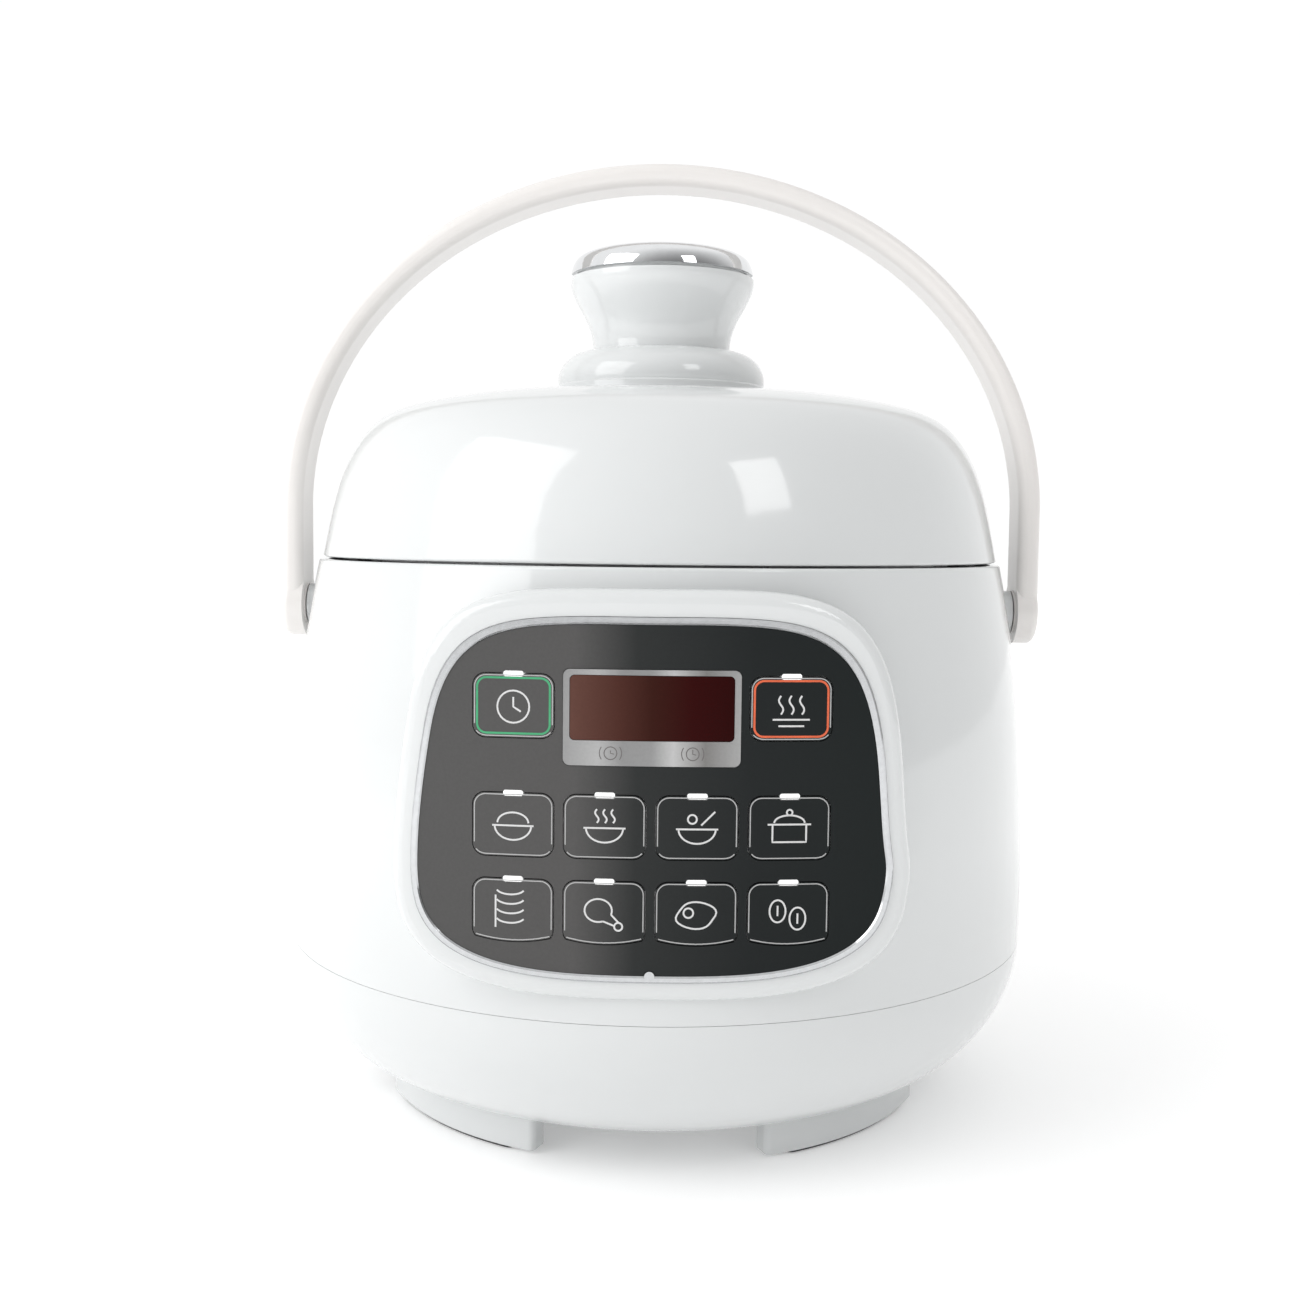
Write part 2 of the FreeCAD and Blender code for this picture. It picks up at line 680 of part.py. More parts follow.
def pressure_switch():
    """Switch under the shield that opens when the shield's bottom flexes."""
    body = Part.makeBox(20, 12, 8, V(-46, -22, shield_bottom_z - 9.5))
    button = Part.makeCylinder(2.0, 1.5, V(-36, -16, shield_bottom_z - 1.5))
    terminals = Part.makeBox(26, 4, 0.8, V(-49, -18, shield_bottom_z - 6))
    return fuse_all([body, button, terminals])


def inner_pot():
    low = pot_low
    neck_r = pot_r - pot_wall
    outer = ring(pot_r, 0, low, pot_rim_z)
    outer = outer.makeFillet(pot_corner, [e for e in outer.Edges if abs(e.CenterOfMass.z - low) < 0.01])
    inner = ring(neck_r, 0, low + pot_wall, pot_rim_z + 5)
    inner = inner.makeFillet(pot_corner - pot_wall,
                             [e for e in inner.Edges if abs(e.CenterOfMass.z - low - pot_wall) < 0.01])
    rim = ring(pot_rim_r, pot_r - 1.0, pot_rim_z - pot_rim_t, pot_rim_z)
    rim = rim.makeFillet(0.7, [e for e in rim.Edges if e.Length > 6 * pot_rim_r])
    return fuse_all([outer, rim]).cut(inner)


# ================================================================== electronics
def power_board_places():
    x = power_board_w / 2.0 - 5.0
    y = power_board_d / 2.0 - 5.0
    return [(sx * x, power_board_y + sy * y) for sx in (-1, 1) for sy in (-1, 1)]


def power_board():
    low = V(-power_board_w / 2.0, power_board_y - power_board_d / 2.0, power_board_z)
    board = Part.makeBox(power_board_w, power_board_d, board_thick, low)
    for x, y in power_board_places():
        board = board.cut(Part.makeCylinder(screw_r + 0.2, 5, V(x, y, power_board_z - 1)))
    return board


def power_board_parts():
    """Relay, transformer, capacitor and terminal block on the power board."""
    top = power_board_z + board_thick
    y = power_board_y
    relay = Part.makeBox(15, 12, 8.5, V(-24, y - 18, top))
    transformer = Part.makeBox(20, 16, 8.0, V(4, y - 16, top))
    capacitor = Part.makeCylinder(4.0, 13, V(-20, y + 8, top + 4.0), X_AXIS)
    terminal = Part.makeBox(20, 8, 8, V(8, y + 8, top))
    return compound([relay, transformer, capacitor, terminal])


def control_board():
    low = V(-control_board_w / 2.0, -control_board_y, control_board_z - control_board_h / 2.0)
    board = Part.makeBox(control_board_w, board_thick, control_board_h, low)
    for x, z in board_post_places():
        board = board.cut(Part.makeCylinder(screw_r + 0.2, 5, V(x, -control_board_y - 1, z), Y_AXIS))
    return board


def switch_tip_y():
    """Y of the push switches' tips, with a key's travel left in front of them."""
    return -control_board_y - switch_height


def push_switches():
    switches = []
    for _, x, row in key_places():
        half = switch_size / 2.0
        box = Part.makeBox(switch_size, switch_height - 0.8, switch_size,
                           V(x - half, -control_board_y - switch_height + 0.8, row_z[row] - half))
        tip = Part.makeCylinder(1.6, 0.8, V(x, switch_tip_y(), row_z[row]), Y_AXIS)
        switches.append(box.fuse(tip))
    return compound(switches)


def display_module():
    """Four-digit light module between the control board and the window."""
    back = -control_board_y
    front = panel_y(window_w / 2.0, -frame_depth) + 0.6
    box = Part.makeBox(window_w - 4, back - front, window_h - 4,
                       V(-(window_w - 4) / 2.0, front, window_z - (window_h - 4) / 2.0))
    return box


# ================================================================== panel pieces
def panel_frame():
    outer = outline_prism(0, 0, 0)
    inner = outline_prism(-frame_width, -frame_width, -frame_width)
    notch = Part.makeCylinder(notch_r, 60, V(0, -140, panel_z - panel_down + frame_width), Y_AXIS)
    frame = between(outer, -frame_depth, frame_proud)
    frame = frame.fuse(between(notch.common(outer), -frame_depth, frame_proud))
    frame = frame.cut(inner.cut(notch))
    frame = frame.removeSplitter()
    front = [e for e in frame.Edges if e.Length > 60 and e.CenterOfMass.y < panel_y(60, frame_proud)]
    high = []
    for edge in front:
        p = edge.valueAt((edge.FirstParameter + edge.LastParameter) / 2.0)
        if abs(p.y - panel_y(p.x, frame_proud)) < 0.02:
            high.append(edge)
    if high:
        frame = frame.makeChamfer(frame_bevel, high)
    return frame


def key_prism(x, row, grow):
    """A key's outline as a prism along Y, grown all round by `grow`."""
    z = row_z[row]
    solid = rounded_box(key_w + 2 * grow, key_h + 2 * grow, key_corner + grow, -140, -90, x, z)
    if row != "bottom":
        return solid
    half = key_w / 2.0 + grow
    low = z - key_h / 2.0 - grow
    side = low + bottom_bow
    high = z + key_h
    outline = [Part.Arc(V(x - half, -140, side), V(x, -140, low), V(x + half, -140, side)).toShape(),
               Part.makeLine(V(x + half, -140, side), V(x + half, -140, high)),
               Part.makeLine(V(x + half, -140, high), V(x - half, -140, high)),
               Part.makeLine(V(x - half, -140, high), V(x - half, -140, side))]
    return solid.common(Part.Face(Part.Wire(outline)).extrude(V(0, 50, 0)))


def pip_prism(x, row, grow):
    """The indicator light's outline as a prism along Y."""
    return rounded_box(pip_w + 2 * grow, pip_h + 2 * grow, (pip_h + 2 * grow) * 0.4, -140, -90, x,
                       row_z[row] + key_h / 2.0)


def panel_plate():
    inner = -frame_width - fixed_gap
    plate = between(outline_prism(inner, inner, inner), -frame_depth, plate_proud)
    notch = Part.makeCylinder(notch_r + fixed_gap, 60, V(0, -140, panel_z - panel_down + frame_width), Y_AXIS)
    plate = plate.cut(notch)
    for _, x, row in key_places():
        plate = plate.cut(key_prism(x, row, key_gap))
        plate = plate.cut(pip_prism(x, row, fixed_gap))
    bezel = rounded_box(bezel_w + 2 * fixed_gap, bezel_h + 2 * fixed_gap, bezel_corner, -140, -90, 0, bezel_z)
    bezel_seat = plate_proud + bezel_proud - bezel_thick
    plate = plate.cut(between(bezel, bezel_seat, 10))
    window = rounded_box(window_w - 2, window_h - 2, window_corner, -140, -90, 0, window_z)
    return plate.cut(window)


def key(x, row):
    """One key: a curved cap with a notch for its light, and a plunger behind it."""
    top = plate_proud + key_proud
    cap = between(key_prism(x, row, 0), top - key_thick, top)
    cap = cap.cut(pip_prism(x, row, key_gap))
    front = panel_y(x, top - key_thick / 2.0)
    length = switch_tip_y() - key_travel - 0.1 - front
    plunger = Part.makeCylinder(plunger_r, length, V(x, front, row_z[row]), Y_AXIS)
    return cap.fuse(plunger).removeSplitter()


def light_pipes():
    pipes = []
    for _, x, row in key_places():
        pipe = between(pip_prism(x, row, 0), -frame_depth - boss_wall - 1.0, plate_proud + key_proud)
        pipes.append(pipe)
    return compound(pipes)


def display_bezel():
    top = plate_proud + bezel_proud
    bezel = rounded_box(bezel_w, bezel_h, bezel_corner, -140, -90, 0, bezel_z)
    bezel = between(bezel, top - bezel_thick, top)
    hole_w = window_w + 2 * fixed_gap
    hole_h = window_h + 2 * fixed_gap
    window = rounded_box(hole_w, hole_h, window_corner, -140, -90, 0, window_z)
    return bezel.cut(window)


def display_window():
    top = plate_proud + bezel_proud - 0.1
    window = rounded_box(window_w, window_h, window_corner, -140, -90, 0, window_z)
    return between(window, top - bezel_thick + 0.1, top)


# ================================================================== mains inlet
def power_inlet():
    low_y = inlet_face - inlet_depth - inlet_wall
    flange_y = inlet_face - inlet_flange_t
    flange = rounded_box(inlet_flange_w, inlet_flange_h, 3.0, flange_y, inlet_face, 0, inlet_z)
    cup = rounded_box(inlet_w + 2 * inlet_wall, inlet_h + 2 * inlet_wall, 3.0, low_y, inlet_face, 0, inlet_z)
    hollow = rounded_box(inlet_w, inlet_h, 2.5, low_y + inlet_wall, inlet_face + 1, 0, inlet_z)
    body = flange.fuse(cup).cut(hollow)
    for side in (-1, 1):
        hole = Part.makeCylinder(screw_r + 0.3, 20, V(side * inlet_screw_x, 100, inlet_z), Y_AXIS)
        body = body.cut(hole)
    for x, z in contact_places():
        body = body.cut(Part.makeBox(2.2, 10, 4.2, V(x - 1.1, low_y - 2, z - 2.1)))
    return body.removeSplitter()


def contact_places():
    return [(-7.0, inlet_z - 2.0), (7.0, inlet_z - 2.0), (0.0, inlet_z + 3.2)]


def inlet_contacts():
    back = inlet_face - inlet_depth - inlet_wall
    blades = []
    for x, z in contact_places():
        blades.append(Part.makeBox(2.0, inlet_depth + 1.5, 4.0, V(x - 1.0, back - 3.0, z - 2.0)))
    return compound(blades)


# ================================================================== bayonet and rim
def locking_ring():
    base = ring(ring_wall_r, shield_r - shield_wall + 0.4, ring_low, ring_low + ring_base_t)
    wall = ring(ring_wall_r, ring_wall_r - ring_wall_t, ring_low, ring_top)
    pieces = [base, wall]
    for i in range(tab_count):
        pieces.append(sector(ring_wall_r - 0.2, tab_inner_r, ring_top - tab_t, ring_top,
                             360.0 / tab_count * i, tab_angle))
    body = fuse_all(pieces)
    for i in range(tab_count):
        place = polar(ring_screw_r(), ring_screw_angle(i))
        body = body.cut(Part.makeCylinder(small_screw_r + 0.2, 5, V(place.x, place.y, ring_low - 2)))
    return body


def rim_cover():
    """Plastic ring that fills the space between the locking ring and the housing's top edge."""
    top = rim_z - rim_cover_drop
    cover = ring(rim_r - shell_wall - rim_cover_gap, ring_wall_r + fixed_gap, ring_low, top)
    return cover.makeFillet(0.6, [e for e in cover.Edges if abs(e.CenterOfMass.z - top) < 0.01])


# ================================================================== lid
def dome_points(inset):
    """Points of the lid's outer curve, moved inward by `inset`."""
    rise = knob_base_z - lid_low
    shape = [(lid_edge_r, lid_low)] + [(lid_edge_r * u, lid_low + rise * v) for u, v in dome_shape]
    moved = []
    for i, (r, z) in enumerate(shape):
        before = shape[max(i - 1, 0)]
        after = shape[min(i + 1, len(shape) - 1)]
        dr = after[0] - before[0]
        dz = after[1] - before[1]
        size = math.hypot(dr, dz)
        moved.append((r - inset * dz / size, z + inset * dr / size))
    moved[0] = (lid_edge_r - inset, lid_low)
    moved.append((0.0, knob_base_z - inset))
    return moved


def dome_edge(inset):
    curve = Part.BSplineCurve()
    curve.interpolate([V(r, 0, z) for r, z in dome_points(inset)])
    return curve.toShape()


def dome_solid(inset, low):
    points = dome_points(inset)
    start = V(points[0][0], 0, points[0][1])
    end = V(0, 0, points[-1][1])
    edges = [dome_edge(inset)]
    if low < start.z - 0.001:
        edges.append(Part.makeLine(start, V(start.x, 0, low)))
    edges.append(Part.makeLine(V(start.x, 0, min(low, start.z)), V(0, 0, min(low, start.z))))
    edges.append(Part.makeLine(V(0, 0, min(low, start.z)), end))
    return spun(edges)


def lid_cover():
    cover = dome_solid(0, lid_low)
    bottom = [e for e in cover.Edges if abs(e.CenterOfMass.z - lid_low) < 0.01 and e.Length > 6 * lid_edge_r]
    cover = cover.makeFillet(0.7, bottom)
    cover = cover.cut(dome_solid(lid_wall, lid_low - 1))
    cover = cover.cut(ring(vent_r + 1.2, 0, 190, 220))
    return cover


def lid_base_ring():
    """Plastic ring that closes the lid cover from below and carries the steel plate."""
    outer = lid_edge_r - lid_wall - 1.1
    disc = ring(outer, 30.0, plate_top_z, plate_top_z + lid_ring_t)
    wall = ring(outer, outer - 2.0, lid_low + 0.2, plate_top_z + 3.0)
    skirt = ring(outer, lid_plate_r + 0.5, lid_low + 0.2, plate_top_z + 0.5)
    posts = []
    for i in range(4):
        place = polar(lid_screw_r, 90.0 * i + 45)
        posts.append(Part.makeCylinder(4.0, 10.0, V(place.x, place.y, plate_top_z)))
    body = fuse_all([disc, wall, skirt] + posts)
    for i in range(4):
        place = polar(lid_screw_r, 90.0 * i + 45)
        body = body.cut(Part.makeCylinder(screw_r, 8.0, V(place.x, place.y, plate_top_z)))
    hole = Part.makeCylinder(float_head_r + 0.6, 20, V(float_x, 0, plate_top_z - 5))
    return body.cut(hole).removeSplitter()


def lid_plate():
    """Steel pressure lid with its bayonet lugs and the channel that holds the seal."""
    top = ring(lid_plate_r, 0, plate_top_z - lid_plate_t, plate_top_z)
    lug_low = lug_top - lug_t
    wall = ring(lid_plate_r, lid_plate_r - lid_plate_t, lug_low, plate_top_z)
    pieces = [top, wall]
    for i in range(tab_count):
        pieces.append(sector(lug_r, lid_plate_r - 0.5, lug_low, lug_top,
                             360.0 / tab_count * (i + 0.5), lug_angle))
    inner_wall = ring(seal_inner_r - moving_gap, seal_inner_r - moving_gap - lid_plate_t,
                      plate_top_z - 5.0, plate_top_z)
    pieces.append(inner_wall)
    plate = fuse_all(pieces)
    plate = plate.cut(ring(vent_r, 0, plate_top_z - 5, plate_top_z + 5))
    for i in range(4):
        place = polar(lid_screw_r, 90.0 * i + 45)
        plate = plate.cut(Part.makeCylinder(screw_r + 0.3, 5, V(place.x, place.y, plate_top_z - 3)))
    plate = plate.cut(Part.makeCylinder(float_r + 0.5, 5, V(float_x, 0, plate_top_z - 3)))
    return plate.removeSplitter()


def sealing_ring():
    """Silicone ring: a lip that bears on the pot's rim and a groove behind it."""
    outer = lid_plate_r - lid_plate_t - moving_gap
    top = plate_top_z - lid_plate_t - moving_gap
    lip = seal_lip
    section = lines([(outer, top), (outer, seal_low), (seal_inner_r, seal_low),
                     (seal_inner_r, seal_low + lip), (outer - lip, seal_low + lip),
                     (outer - lip, top - lip), (seal_inner_r, top - lip),
                     (seal_inner_r, top), (outer, top)])
    return spun(section)


def vent_tube():
    """Steam tube from the pressure lid up into the knob."""
    high = knob_waist_z + 8.0
    tube = ring(vent_r - fixed_gap, vent_bore_r, plate_top_z - 4.0, high)
    flange = ring(vent_r + 4.0, vent_bore_r, plate_top_z, plate_top_z + 1.5)
    seat = ring(vent_r + 3.0, vent_bore_r, plate_top_z - 3.0, plate_top_z - lid_plate_t)
    return fuse_all([tube, flange, seat])


def vent_shield():
    """Slotted cup under the lid that keeps food out of the steam tube."""
    top = plate_top_z - 3.0
    cup = ring(12.0, 0, top - 7.0, top).cut(ring(10.8, 0, top - 5.8, top + 1))
    for i in range(8):
        slot = Part.makeBox(2.0, 30, 3.4, V(-1.0, 0, top - 5.0))
        slot.rotate(ORIGIN, Z_AXIS, 45.0 * i)
        cup = cup.cut(slot)
    lid = ring(12.0, vent_r + fixed_gap, top - 1.2, top)
    return fuse_all([cup, lid])


def lid_plate_screws():
    screws = []
    for i in range(4):
        place = polar(lid_screw_r, 90.0 * i + 45)
        screws.append(screw(V(place.x, place.y, plate_top_z - lid_plate_t), Z_AXIS, 8.0))
    return compound(screws)


def float_seal_z():
    """Middle height of the float's seal, which leaves the float its rise below the plate."""
    return plate_top_z - lid_plate_t - float_rise - moving_gap / 2.0 - float_seal_wire


def float_valve():
    """Pin that pressure lifts; its head rests on the steel plate."""
    low = float_seal_z() - 1.5 * float_seal_wire
    head_low = plate_top_z + fixed_gap
    pin = Part.makeCylinder(float_r, head_low + float_head_h - low, V(float_x, 0, low))
    head = Part.makeCylinder(float_head_r, float_head_h, V(float_x, 0, head_low))
    groove = Part.makeTorus(float_seal_r, float_seal_wire + fixed_gap, V(float_x, 0, float_seal_z()))
    return pin.fuse(head).cut(groove).removeSplitter()


def float_seal():
    return Part.makeTorus(float_seal_r, float_seal_wire, V(float_x, 0, float_seal_z()))


# ================================================================== knob
def knob_flange():
    """Low round base of the knob."""
    rise = knob_waist_z - knob_base_z
    side = (knob_base_r - 0.3, knob_base_z + 3.0)
    points = [side] + [(knob_base_r * u, knob_base_z + rise * v) for u, v in flange_shape]
    curve = Part.BSplineCurve()
    curve.interpolate([V(r, 0, z) for r, z in points] + [V(knob_waist_r, 0, knob_waist_z)])
    bore = vent_r + 1.0
    edges = lines([(knob_waist_r, knob_waist_z), (bore, knob_waist_z), (bore, knob_base_z),
                   (knob_base_r, knob_base_z - 0.9), (knob_base_r, side[1] - 0.4), side])
    edges.append(curve.toShape())
    flange = spun(edges)
    return flange.cut(dome_solid(-0.05, lid_low))


def knob_body():
    """Waisted grip with a collar that the cap slides over."""
    rise = knob_top_z - knob_waist_z
    growth = knob_top_r - knob_waist_r
    rim = (knob_top_r - 0.1, knob_top_z)
    points = [(knob_waist_r + growth * u, knob_waist_z + rise * v) for u, v in knob_shape]
    side = Part.BSplineCurve()
    side.interpolate([V(knob_waist_r, 0, knob_waist_z)] + [V(r, 0, z) for r, z in points + [rim]])
    collar_top = knob_top_z + knob_collar_h
    well_z = knob_top_z - knob_well
    nut_room_z = knob_waist_z + 12.0
    stem_bore = cap_stem_r + shaft_gap
    edges = [side.toShape()]
    edges += lines([rim, (knob_collar_r, knob_top_z), (knob_collar_r, collar_top),
                    (knob_collar_r - 2.0, collar_top), (knob_collar_r - 2.0, well_z),
                    (stem_bore, well_z), (stem_bore, nut_room_z),
                    (vent_r + 3.0, nut_room_z), (vent_r + 3.0, knob_waist_z),
                    (knob_waist_r, knob_waist_z)])
    return spun(edges)


def pressure_cap():
    """Chromed cap that is pressed to let the steam out."""
    rise = cap_top_z - cap_edge_z
    points = [(cap_edge_r * u, cap_edge_z + rise * v) for u, v in cap_shape]
    curve = Part.BSplineCurve()
    curve.interpolate([V(cap_edge_r, 0, cap_edge_z)] + [V(r, 0, z) for r, z in points + [(0, cap_top_z)]])
    ceiling = cap_top_z - cap_top_t
    inside = knob_collar_r + moving_gap
    stem_low = knob_waist_z + 14.0
    edges = [curve.toShape()]
    edges += lines([(0, cap_top_z), (0, stem_low), (cap_stem_r, stem_low),
                    (cap_stem_r, ceiling - 1.0), (cap_stem_r + 5.0, ceiling), (inside - 3.9, ceiling),
                    (inside, ceiling - 2.4), (inside, cap_edge_z), (cap_edge_r, cap_edge_z)])
    return spun(edges)


def cap_spring():
    low = knob_top_z - knob_well
    high = cap_top_z - cap_top_t - cap_spring_gap
    return coil_spring(cap_spring_r, spring_wire_r, low, high, cap_spring_turns)


def knob_nut():
    """Thin nut on the steam tube that clamps the knob to the lid cover."""
    low = knob_waist_z
    nut = ring(vent_r + 2.4, vent_r, low, low + 3.5)
    for i in range(6):
        flat = Part.makeBox(4, 20, 5, V(vent_r + 1.9, -10, low - 0.5))
        flat.rotate(ORIGIN, Z_AXIS, 60.0 * i)
        nut = nut.cut(flat)
    return nut


# ================================================================== carry handle
def handle_path():
    """Mid-line of the arch: straight legs joined by half an ellipse."""
    rise = handle_top_z - handle_thick / 2.0 - handle_bend_z
    steps = 12
    angles = [math.pi - math.pi * i / steps for i in range(steps + 1)]
    points = [V(handle_mid_x * math.cos(a), 0, handle_bend_z + rise * math.sin(a)) for a in angles]
    curve = Part.BSplineCurve()
    curve.interpolate(points)
    first = Part.makeLine(V(-handle_mid_x, 0, pivot_z), points[0])
    last = Part.makeLine(points[-1], V(handle_mid_x, 0, pivot_z))
    return Part.Wire([first, curve.toShape(), last])


def carry_handle():
    half_t = handle_thick / 2.0
    half_d = handle_depth / 2.0
    section = Part.makeBox(handle_thick, handle_depth, 1, V(-handle_mid_x - half_t, -half_d, pivot_z))
    section = section.makeFillet(handle_round, [e for e in section.Edges
                                                if abs(e.Vertexes[0].Z - e.Vertexes[-1].Z) > 0.5])
    bottom = [f for f in section.Faces if abs(f.CenterOfMass.z - pivot_z) < 0.001][0]
    arch = handle_path().makePipeShell([bottom.OuterWire], True, False)
    arch = Part.Solid(arch) if arch.ShapeType == "Shell" else arch
    pieces = [arch]
    for side in (-1, 1):
        start = V(side * (handle_mid_x + half_t), 0, pivot_z)
        end_disc = Part.makeCylinder(handle_hub_r, handle_thick, start, X_AXIS * -side)
        rims = [e for e in end_disc.Edges if e.Length > 6 * handle_hub_r]
        outer = [e for e in rims if abs(e.CenterOfMass.x - start.x) < 0.01]
        inner = [e for e in rims if abs(e.CenterOfMass.x - start.x) > 0.01]
        end_disc = end_disc.makeFillet(handle_round * 0.8, outer)
        hub = Part.makeCylinder(pivot_boss_r, hub_step, start - X_AXIS * (side * handle_thick),
                                X_AXIS * -side)
        pieces += [end_disc, hub]
    handle = fuse_all(pieces)
    for side in (-1, 1):
        depth = handle_thick + hub_step - pin_cover
        start = V(side * (handle_mid_x - half_t - hub_step), 0, pivot_z)
        handle = handle.cut(Part.makeCylinder(pin_r, depth, start, X_AXIS * side))
    return handle


def handle_pins():
    pins = []
    outer_x = handle_mid_x + handle_thick / 2.0 - pin_cover
    for side in (-1, 1):
        inward = X_AXIS * -side
        length = outer_x - bush_inner_x + 2.6
        pin = Part.makeCylinder(pin_r, length, V(side * outer_x, 0, pivot_z), inward)
        groove_start = V(side * (bush_inner_x - clip_gap), 0, pivot_z)
        groove = Part.makeCylinder(pin_r + 1, clip_t, groove_start, inward)
        groove = groove.cut(Part.makeCylinder(pin_neck_r, clip_t, groove_start, inward))
        pins.append(pin.cut(groove))
    return compound(pins)


def handle_clips():
    clips = []
    for side in (-1, 1):
        start = V(side * (bush_inner_x - clip_gap), 0, pivot_z)
        clip = Part.makeCylinder(clip_r, clip_t, start, X_AXIS * -side)
        clip = clip.cut(Part.makeCylinder(pin_neck_r, clip_t, start, X_AXIS * -side))
        mouth = pin_neck_r - 0.4
        gap = Part.makeBox(2 * clip_t + 2, 2 * mouth, clip_r + 2,
                           V(side * bush_inner_x - clip_t - 1, -mouth, pivot_z - clip_r - 2))
        clips.append(clip.cut(gap))
    return compound(clips)


def handle_bushes():
    bushes = []
    bore = pin_r + shaft_gap
    for side in (-1, 1):
        inner = V(side * bush_inner_x, 0, pivot_z)
        length = pivot_boss_face - bush_inner_x
        bush = Part.makeCylinder(bore + bush_wall, length, inner, X_AXIS * side)
        bush = bush.cut(Part.makeCylinder(bore, length, inner, X_AXIS * side))
        bushes.append(bush)
    return compound(bushes)


# ================================================================== screws
def base_screws():
    return compound([screw(V(p.x, p.y, bottom_z + 3.0), Z_AXIS, base_post_top - bottom_z - 3.0 + 4.5)
                     for p in base_screw_places()])


def ring_screws():
    screws = []
    for i in range(tab_count):
        p = polar(ring_screw_r(), ring_screw_angle(i))
        screws.append(screw(V(p.x, p.y, ring_low + ring_base_t), Z_AXIS * -1, 8.0,
                            small_screw_r, small_head_r, small_head_h))
    return compound(screws)


def control_board_screws():
    y = -control_board_y + board_thick
    return compound([screw(V(x, y, z), Y_AXIS * -1, 6.5) for x, z in board_post_places()])


def power_board_screws():
    z = power_board_z + board_thick
    return compound([screw(V(x, y, z), Z_AXIS * -1, power_screw_length) for x, y in power_board_places()])


def inlet_screws():
    return compound([screw(V(side * inlet_screw_x, inlet_face, inlet_z), Y_AXIS * -1, 8.0)
                     for side in (-1, 1)])


def heater_screws():
    screws = []
    for i in range(3):
        p = polar(heater_foot_r, 120.0 * i + heater_foot_angle)
        screws.append(screw(V(p.x, p.y, shield_bottom_z), Z_AXIS, 5.5))
    return compound(screws)


# ================================================================== all pieces
pieces = {
    "outer_housing": outer_housing,
    "base_shell": base_shell,
    "foot_pads": foot_pads,
    "heat_shield": heat_shield,
    "heating_plate": heating_plate,
    "heating_element": heating_element,
    "temperature_sensor": temperature_sensor,
    "sensor_spring": sensor_spring,
    "sensor_bracket": sensor_bracket,
    "thermal_fuse": thermal_fuse,
    "pressure_switch": pressure_switch,
    "inner_pot": inner_pot,
    "power_board": power_board,
    "power_board_parts": power_board_parts,
    "control_board": control_board,
    "push_switches": push_switches,
    "display_module": display_module,
    "panel_frame": panel_frame,
    "panel_plate": panel_plate,
    "light_pipes": light_pipes,
    "display_bezel": display_bezel,
    "display_window": display_window,
    "power_inlet": power_inlet,
    "inlet_contacts": inlet_contacts,
    "locking_ring": locking_ring,
    "rim_cover": rim_cover,
    "lid_cover": lid_cover,
    "lid_base_ring": lid_base_ring,
    "lid_plate": lid_plate,
    "sealing_ring": sealing_ring,
    "vent_tube": vent_tube,
    "vent_shield": vent_shield,
    "float_valve": float_valve,
    "float_seal": float_seal,
    "knob_flange": knob_flange,
    "knob_body": knob_body,
    "pressure_cap": pressure_cap,
    "cap_spring": cap_spring,
    "knob_nut": knob_nut,
    "carry_handle": carry_handle,
    "handle_pins": handle_pins,
    "handle_clips": handle_clips,
    "handle_bushes": handle_bushes,
    "base_screws": base_screws,
    "ring_screws": ring_screws,
    "lid_plate_screws": lid_plate_screws,
    "control_board_screws": control_board_screws,
    "power_board_screws": power_board_screws,
    "inlet_screws": inlet_screws,
    "heater_screws": heater_screws,
}

os.makedirs("parts", exist_ok=True)
for node, make in pieces.items():
    make().exportStep("parts/%s.step" % node)
for node, x, row in key_places():
    key(x, row).exportStep("parts/%s.step" % node)
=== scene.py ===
import bpy
import math
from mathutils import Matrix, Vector
from mathutils.bvhtree import BVHTree


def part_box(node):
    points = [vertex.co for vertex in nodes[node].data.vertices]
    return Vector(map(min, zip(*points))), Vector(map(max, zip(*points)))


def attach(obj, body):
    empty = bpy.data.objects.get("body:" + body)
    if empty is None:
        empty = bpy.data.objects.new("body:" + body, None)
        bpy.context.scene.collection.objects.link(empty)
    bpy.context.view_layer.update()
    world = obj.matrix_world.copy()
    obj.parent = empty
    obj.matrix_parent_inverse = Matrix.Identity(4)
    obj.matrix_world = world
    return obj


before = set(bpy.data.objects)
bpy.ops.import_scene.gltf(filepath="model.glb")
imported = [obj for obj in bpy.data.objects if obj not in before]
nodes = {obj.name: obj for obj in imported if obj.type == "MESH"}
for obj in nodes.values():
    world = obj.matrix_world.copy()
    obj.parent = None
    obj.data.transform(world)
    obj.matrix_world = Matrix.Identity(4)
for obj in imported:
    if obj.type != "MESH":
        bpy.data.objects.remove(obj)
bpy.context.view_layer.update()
MM = 0.001
KEYS = (["key_top_left", "key_top_right"] + ["key_middle_%d" % i for i in range(1, 5)]
        + ["key_bottom_%d" % i for i in range(1, 5)])


# ================================================================== materials
def new_material(name):
    """An empty node material with its shader, and the object's own coordinates."""
    material = bpy.data.materials.new(name)
    material.use_nodes = True
    tree = material.node_tree
    shader = tree.nodes["Principled BSDF"]
    place = tree.nodes.new("ShaderNodeTexCoord")
    return material, tree, shader, place.outputs["Object"]


def noise(tree, place, scale, detail=3.0, stretch=(1, 1, 1)):
    """A noise field; stretch scales each axis, so small numbers draw it out along that axis."""
    mapping = tree.nodes.new("ShaderNodeMapping")
    mapping.inputs["Scale"].default_value = stretch
    tree.links.new(place, mapping.inputs["Vector"])
    node = tree.nodes.new("ShaderNodeTexNoise")
    node.inputs["Scale"].default_value = scale
    node.inputs["Detail"].default_value = detail
    tree.links.new(mapping.outputs["Vector"], node.inputs["Vector"])
    return node.outputs["Fac"]


